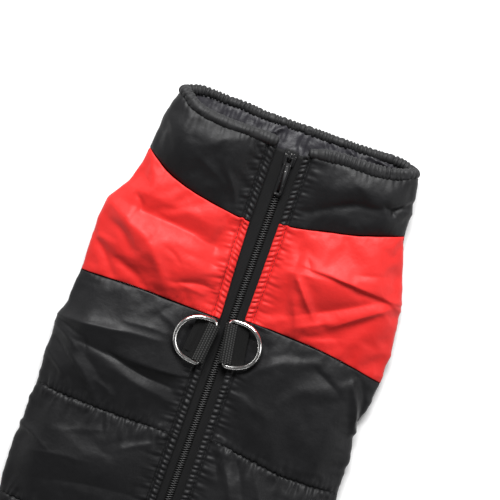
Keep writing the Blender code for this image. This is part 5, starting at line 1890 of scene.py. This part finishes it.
def ring_frame(side):
    """Where a ring lies: x outwards from its bar, y along the bar; the left one is mirrored."""
    seat = RING_SEATS[side]
    spot = Matrix.Translation((seat.x, ZIP_TOP_Y - seat.down, 0.0))
    turn = Matrix.Rotation(math.radians(seat.turn), 4, "Z")
    return spot @ turn @ Matrix.Diagonal((side, 1.0, 1.0, 1.0))


def moved_by(points, matrix):
    """The points after a matrix has moved and turned them."""
    matrix = np.array(matrix)
    return points @ matrix[:3, :3].T + matrix[:3, 3]


def ring_outline():
    """The wire's middle line, round a corner, the bow, the other corner and back along the bar."""
    straight = RING_HALF_BAR - RING_CORNER
    angle = np.linspace(0.0, math.pi / 2, 9)
    turn = np.stack([RING_CORNER * (1 - np.cos(angle)), -straight - RING_CORNER * np.sin(angle)], axis=-1)
    angle = np.linspace(-math.pi / 2, math.pi / 2, 97)[1:-1]
    reach = RING_CORNER + (RING_DEPTH - RING_CORNER) * np.cos(angle) ** RING_BOW_POWER
    bow = np.stack([reach, RING_HALF_BAR * np.sin(angle)], axis=-1)
    along = np.linspace(straight, -straight, 13)[1:-1]
    bar = np.stack([0 * along, along], axis=-1)
    flat = np.concatenate([turn, bow, turn[::-1] * (1, -1), bar])
    return np.concatenate([flat, 0 * flat[:, :1]], axis=-1)


for side in (LEFT, RIGHT):
    name = SIDE_NAMES[side]
    outline = ring_outline()
    wire = tube_points(outline, np.full((len(outline), 1), RING_WIRE), RING_SIDES, True)
    wire = np.concatenate([wire, wire[:1]])
    lean = Matrix.Rotation(-math.radians(RING_LIFT), 4, "Y")
    lift = Matrix.Translation((0.0, 0.0, RING_HEIGHTS[side])) @ lean
    ring = grid_piece("leash_ring_" + name, moved_by(wire, ring_frame(side) @ lift), ring_plate, merge=True)
    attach(ring, name + "_ring")
    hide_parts("ring_" + name)

# %% [markdown]
# ## The webbing
# A short piece of webbing goes from the body round the ring's bar and back onto itself, and two
# rows of sewing hold both layers down. The ribs show in outline at the fold, so they are real
# waves of the mesh there, and the material's fine weave lies on top of them.

# %% Webbing form
WEBBING_WIDTH = 24.6
WEBBING_THICKNESS = 0.9
WEBBING_LEG = 12.0
WEBBING_ROUND_BAR = 1.7
WEBBING_COLUMNS = 85
WEBBING_ROWS = 121
MIDDLE_COLUMN = WEBBING_COLUMNS // 2
LOWER_LAYER = (WEBBING_LEG, 9.0, 6.0, 3.5)       # distances from the ring's bar, inwards
ONTO_THE_CLOTH = ((2.4, 1.75), (4.6, 0.45))      # and outwards, each with its height above the bar
UPPER_LAYER = (7.0, 9.0, WEBBING_LEG)
RIB_PITCH = 1.45
KNOT_PITCH = 1.5
RIB_DEPTH = 0.62


def webbing_rows(side, along):
    """Lines across the webbing at a few places of its length, in the ring's own frame."""
    bar = RING_HEIGHTS[side]
    wrap = WEBBING_ROUND_BAR + WEBBING_THICKNESS / 2

    def on_cloth(outward, layer):
        flat = np.stack([outward + 0 * along, along, 0 * along], axis=-1)
        spot = moved_by(flat, ring_frame(side))
        lie = cloth_height(spot[:, 0], ZIP_TOP_Y - spot[:, 1]) + SEAM_GAP + WEBBING_THICKNESS / 2
        return lie + layer * (WEBBING_THICKNESS + SEAM_GAP)

    rows = [(x, on_cloth(x, 0)) for x in LOWER_LAYER]
    for angle in -np.pi / 2 - np.pi * np.arange(9) / 8:
        rows.append((wrap * math.cos(angle), bar + wrap * math.sin(angle) + 0 * along))
    rows += [(x, bar + rise + 0 * along) for x, rise in ONTO_THE_CLOTH]
    rows += [(x, on_cloth(x, 1)) for x in UPPER_LAYER]
    return np.array([np.stack([x + 0 * along, along, z], axis=-1) for x, z in rows])


def webbing_layers(side):
    """Rows run along the webbing's own length, round the bar and back; columns across it."""
    along = np.linspace(-WEBBING_WIDTH / 2, WEBBING_WIDTH / 2, WEBBING_COLUMNS)
    points = webbing_rows(side, along)
    length = run_lengths(points[:, MIDDLE_COLUMN])
    even = np.linspace(0.0, length[-1], WEBBING_ROWS)
    columns = points.reshape(len(points), -1).T
    fine = np.stack([np.interp(even, length, column) for column in columns], axis=-1)
    fine = fine.reshape(WEBBING_ROWS, *points.shape[1:])
    smooth_line(fine, 4)
    rib = even[:, None] / RIB_PITCH
    knot = along[None, :] / KNOT_PITCH + 0.5 * np.floor(rib)
    weave = np.abs(np.sin(math.pi * rib)) ** 0.6 * (0.45 + 0.55 * np.abs(np.sin(math.pi * knot)) ** 0.7)
    weave = weave * (1 - 0.9 * ramp(fine[..., 0], 3.4, 4.6))
    outwards = unit(cell_normals(fine))
    outwards = outwards * np.sign(outwards[-1, MIDDLE_COLUMN, 2])
    fine += outwards * (RIB_DEPTH * weave)[..., None]
    return moved_by(fine, ring_frame(side)), fine[..., 0], weave


# %% Build the webbing
STRAP_STITCHES = (5.6, 10.6)      # distances from the ring's bar
# How sharply the painted knot highlight gathers on the weave's highest points.
KNOT_HIGHLIGHT_POWER = 5.0

for side in (LEFT, RIGHT):
    name = "ring_webbing_" + SIDE_NAMES[side]
    strap, outward, weave = webbing_layers(side)
    # The mask is a painted highlight on the highest knots of the modelled weave, so the legs past the fold,
    # which are flattened, stay dark.
    band = grid_piece(name + "_strap", strap, strap_weave, mask=np.clip(weave, 0.0, 1.0) ** KNOT_HIGHLIGHT_POWER)
    add_wall(band, WEBBING_THICKNESS, offset=0.0)
    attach(band, "vest")
    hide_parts(name)
    half = WEBBING_ROWS // 2
    upper = outward[half:, MIDDLE_COLUMN]
    lines = [strap[half + np.argmin(np.abs(upper - x))] for x in STRAP_STITCHES]
    rows = [sew(f"{name}_stitches_{i}", line[3:-3], thread) for i, line in enumerate(lines)]
    declare_sheet(band, strap)
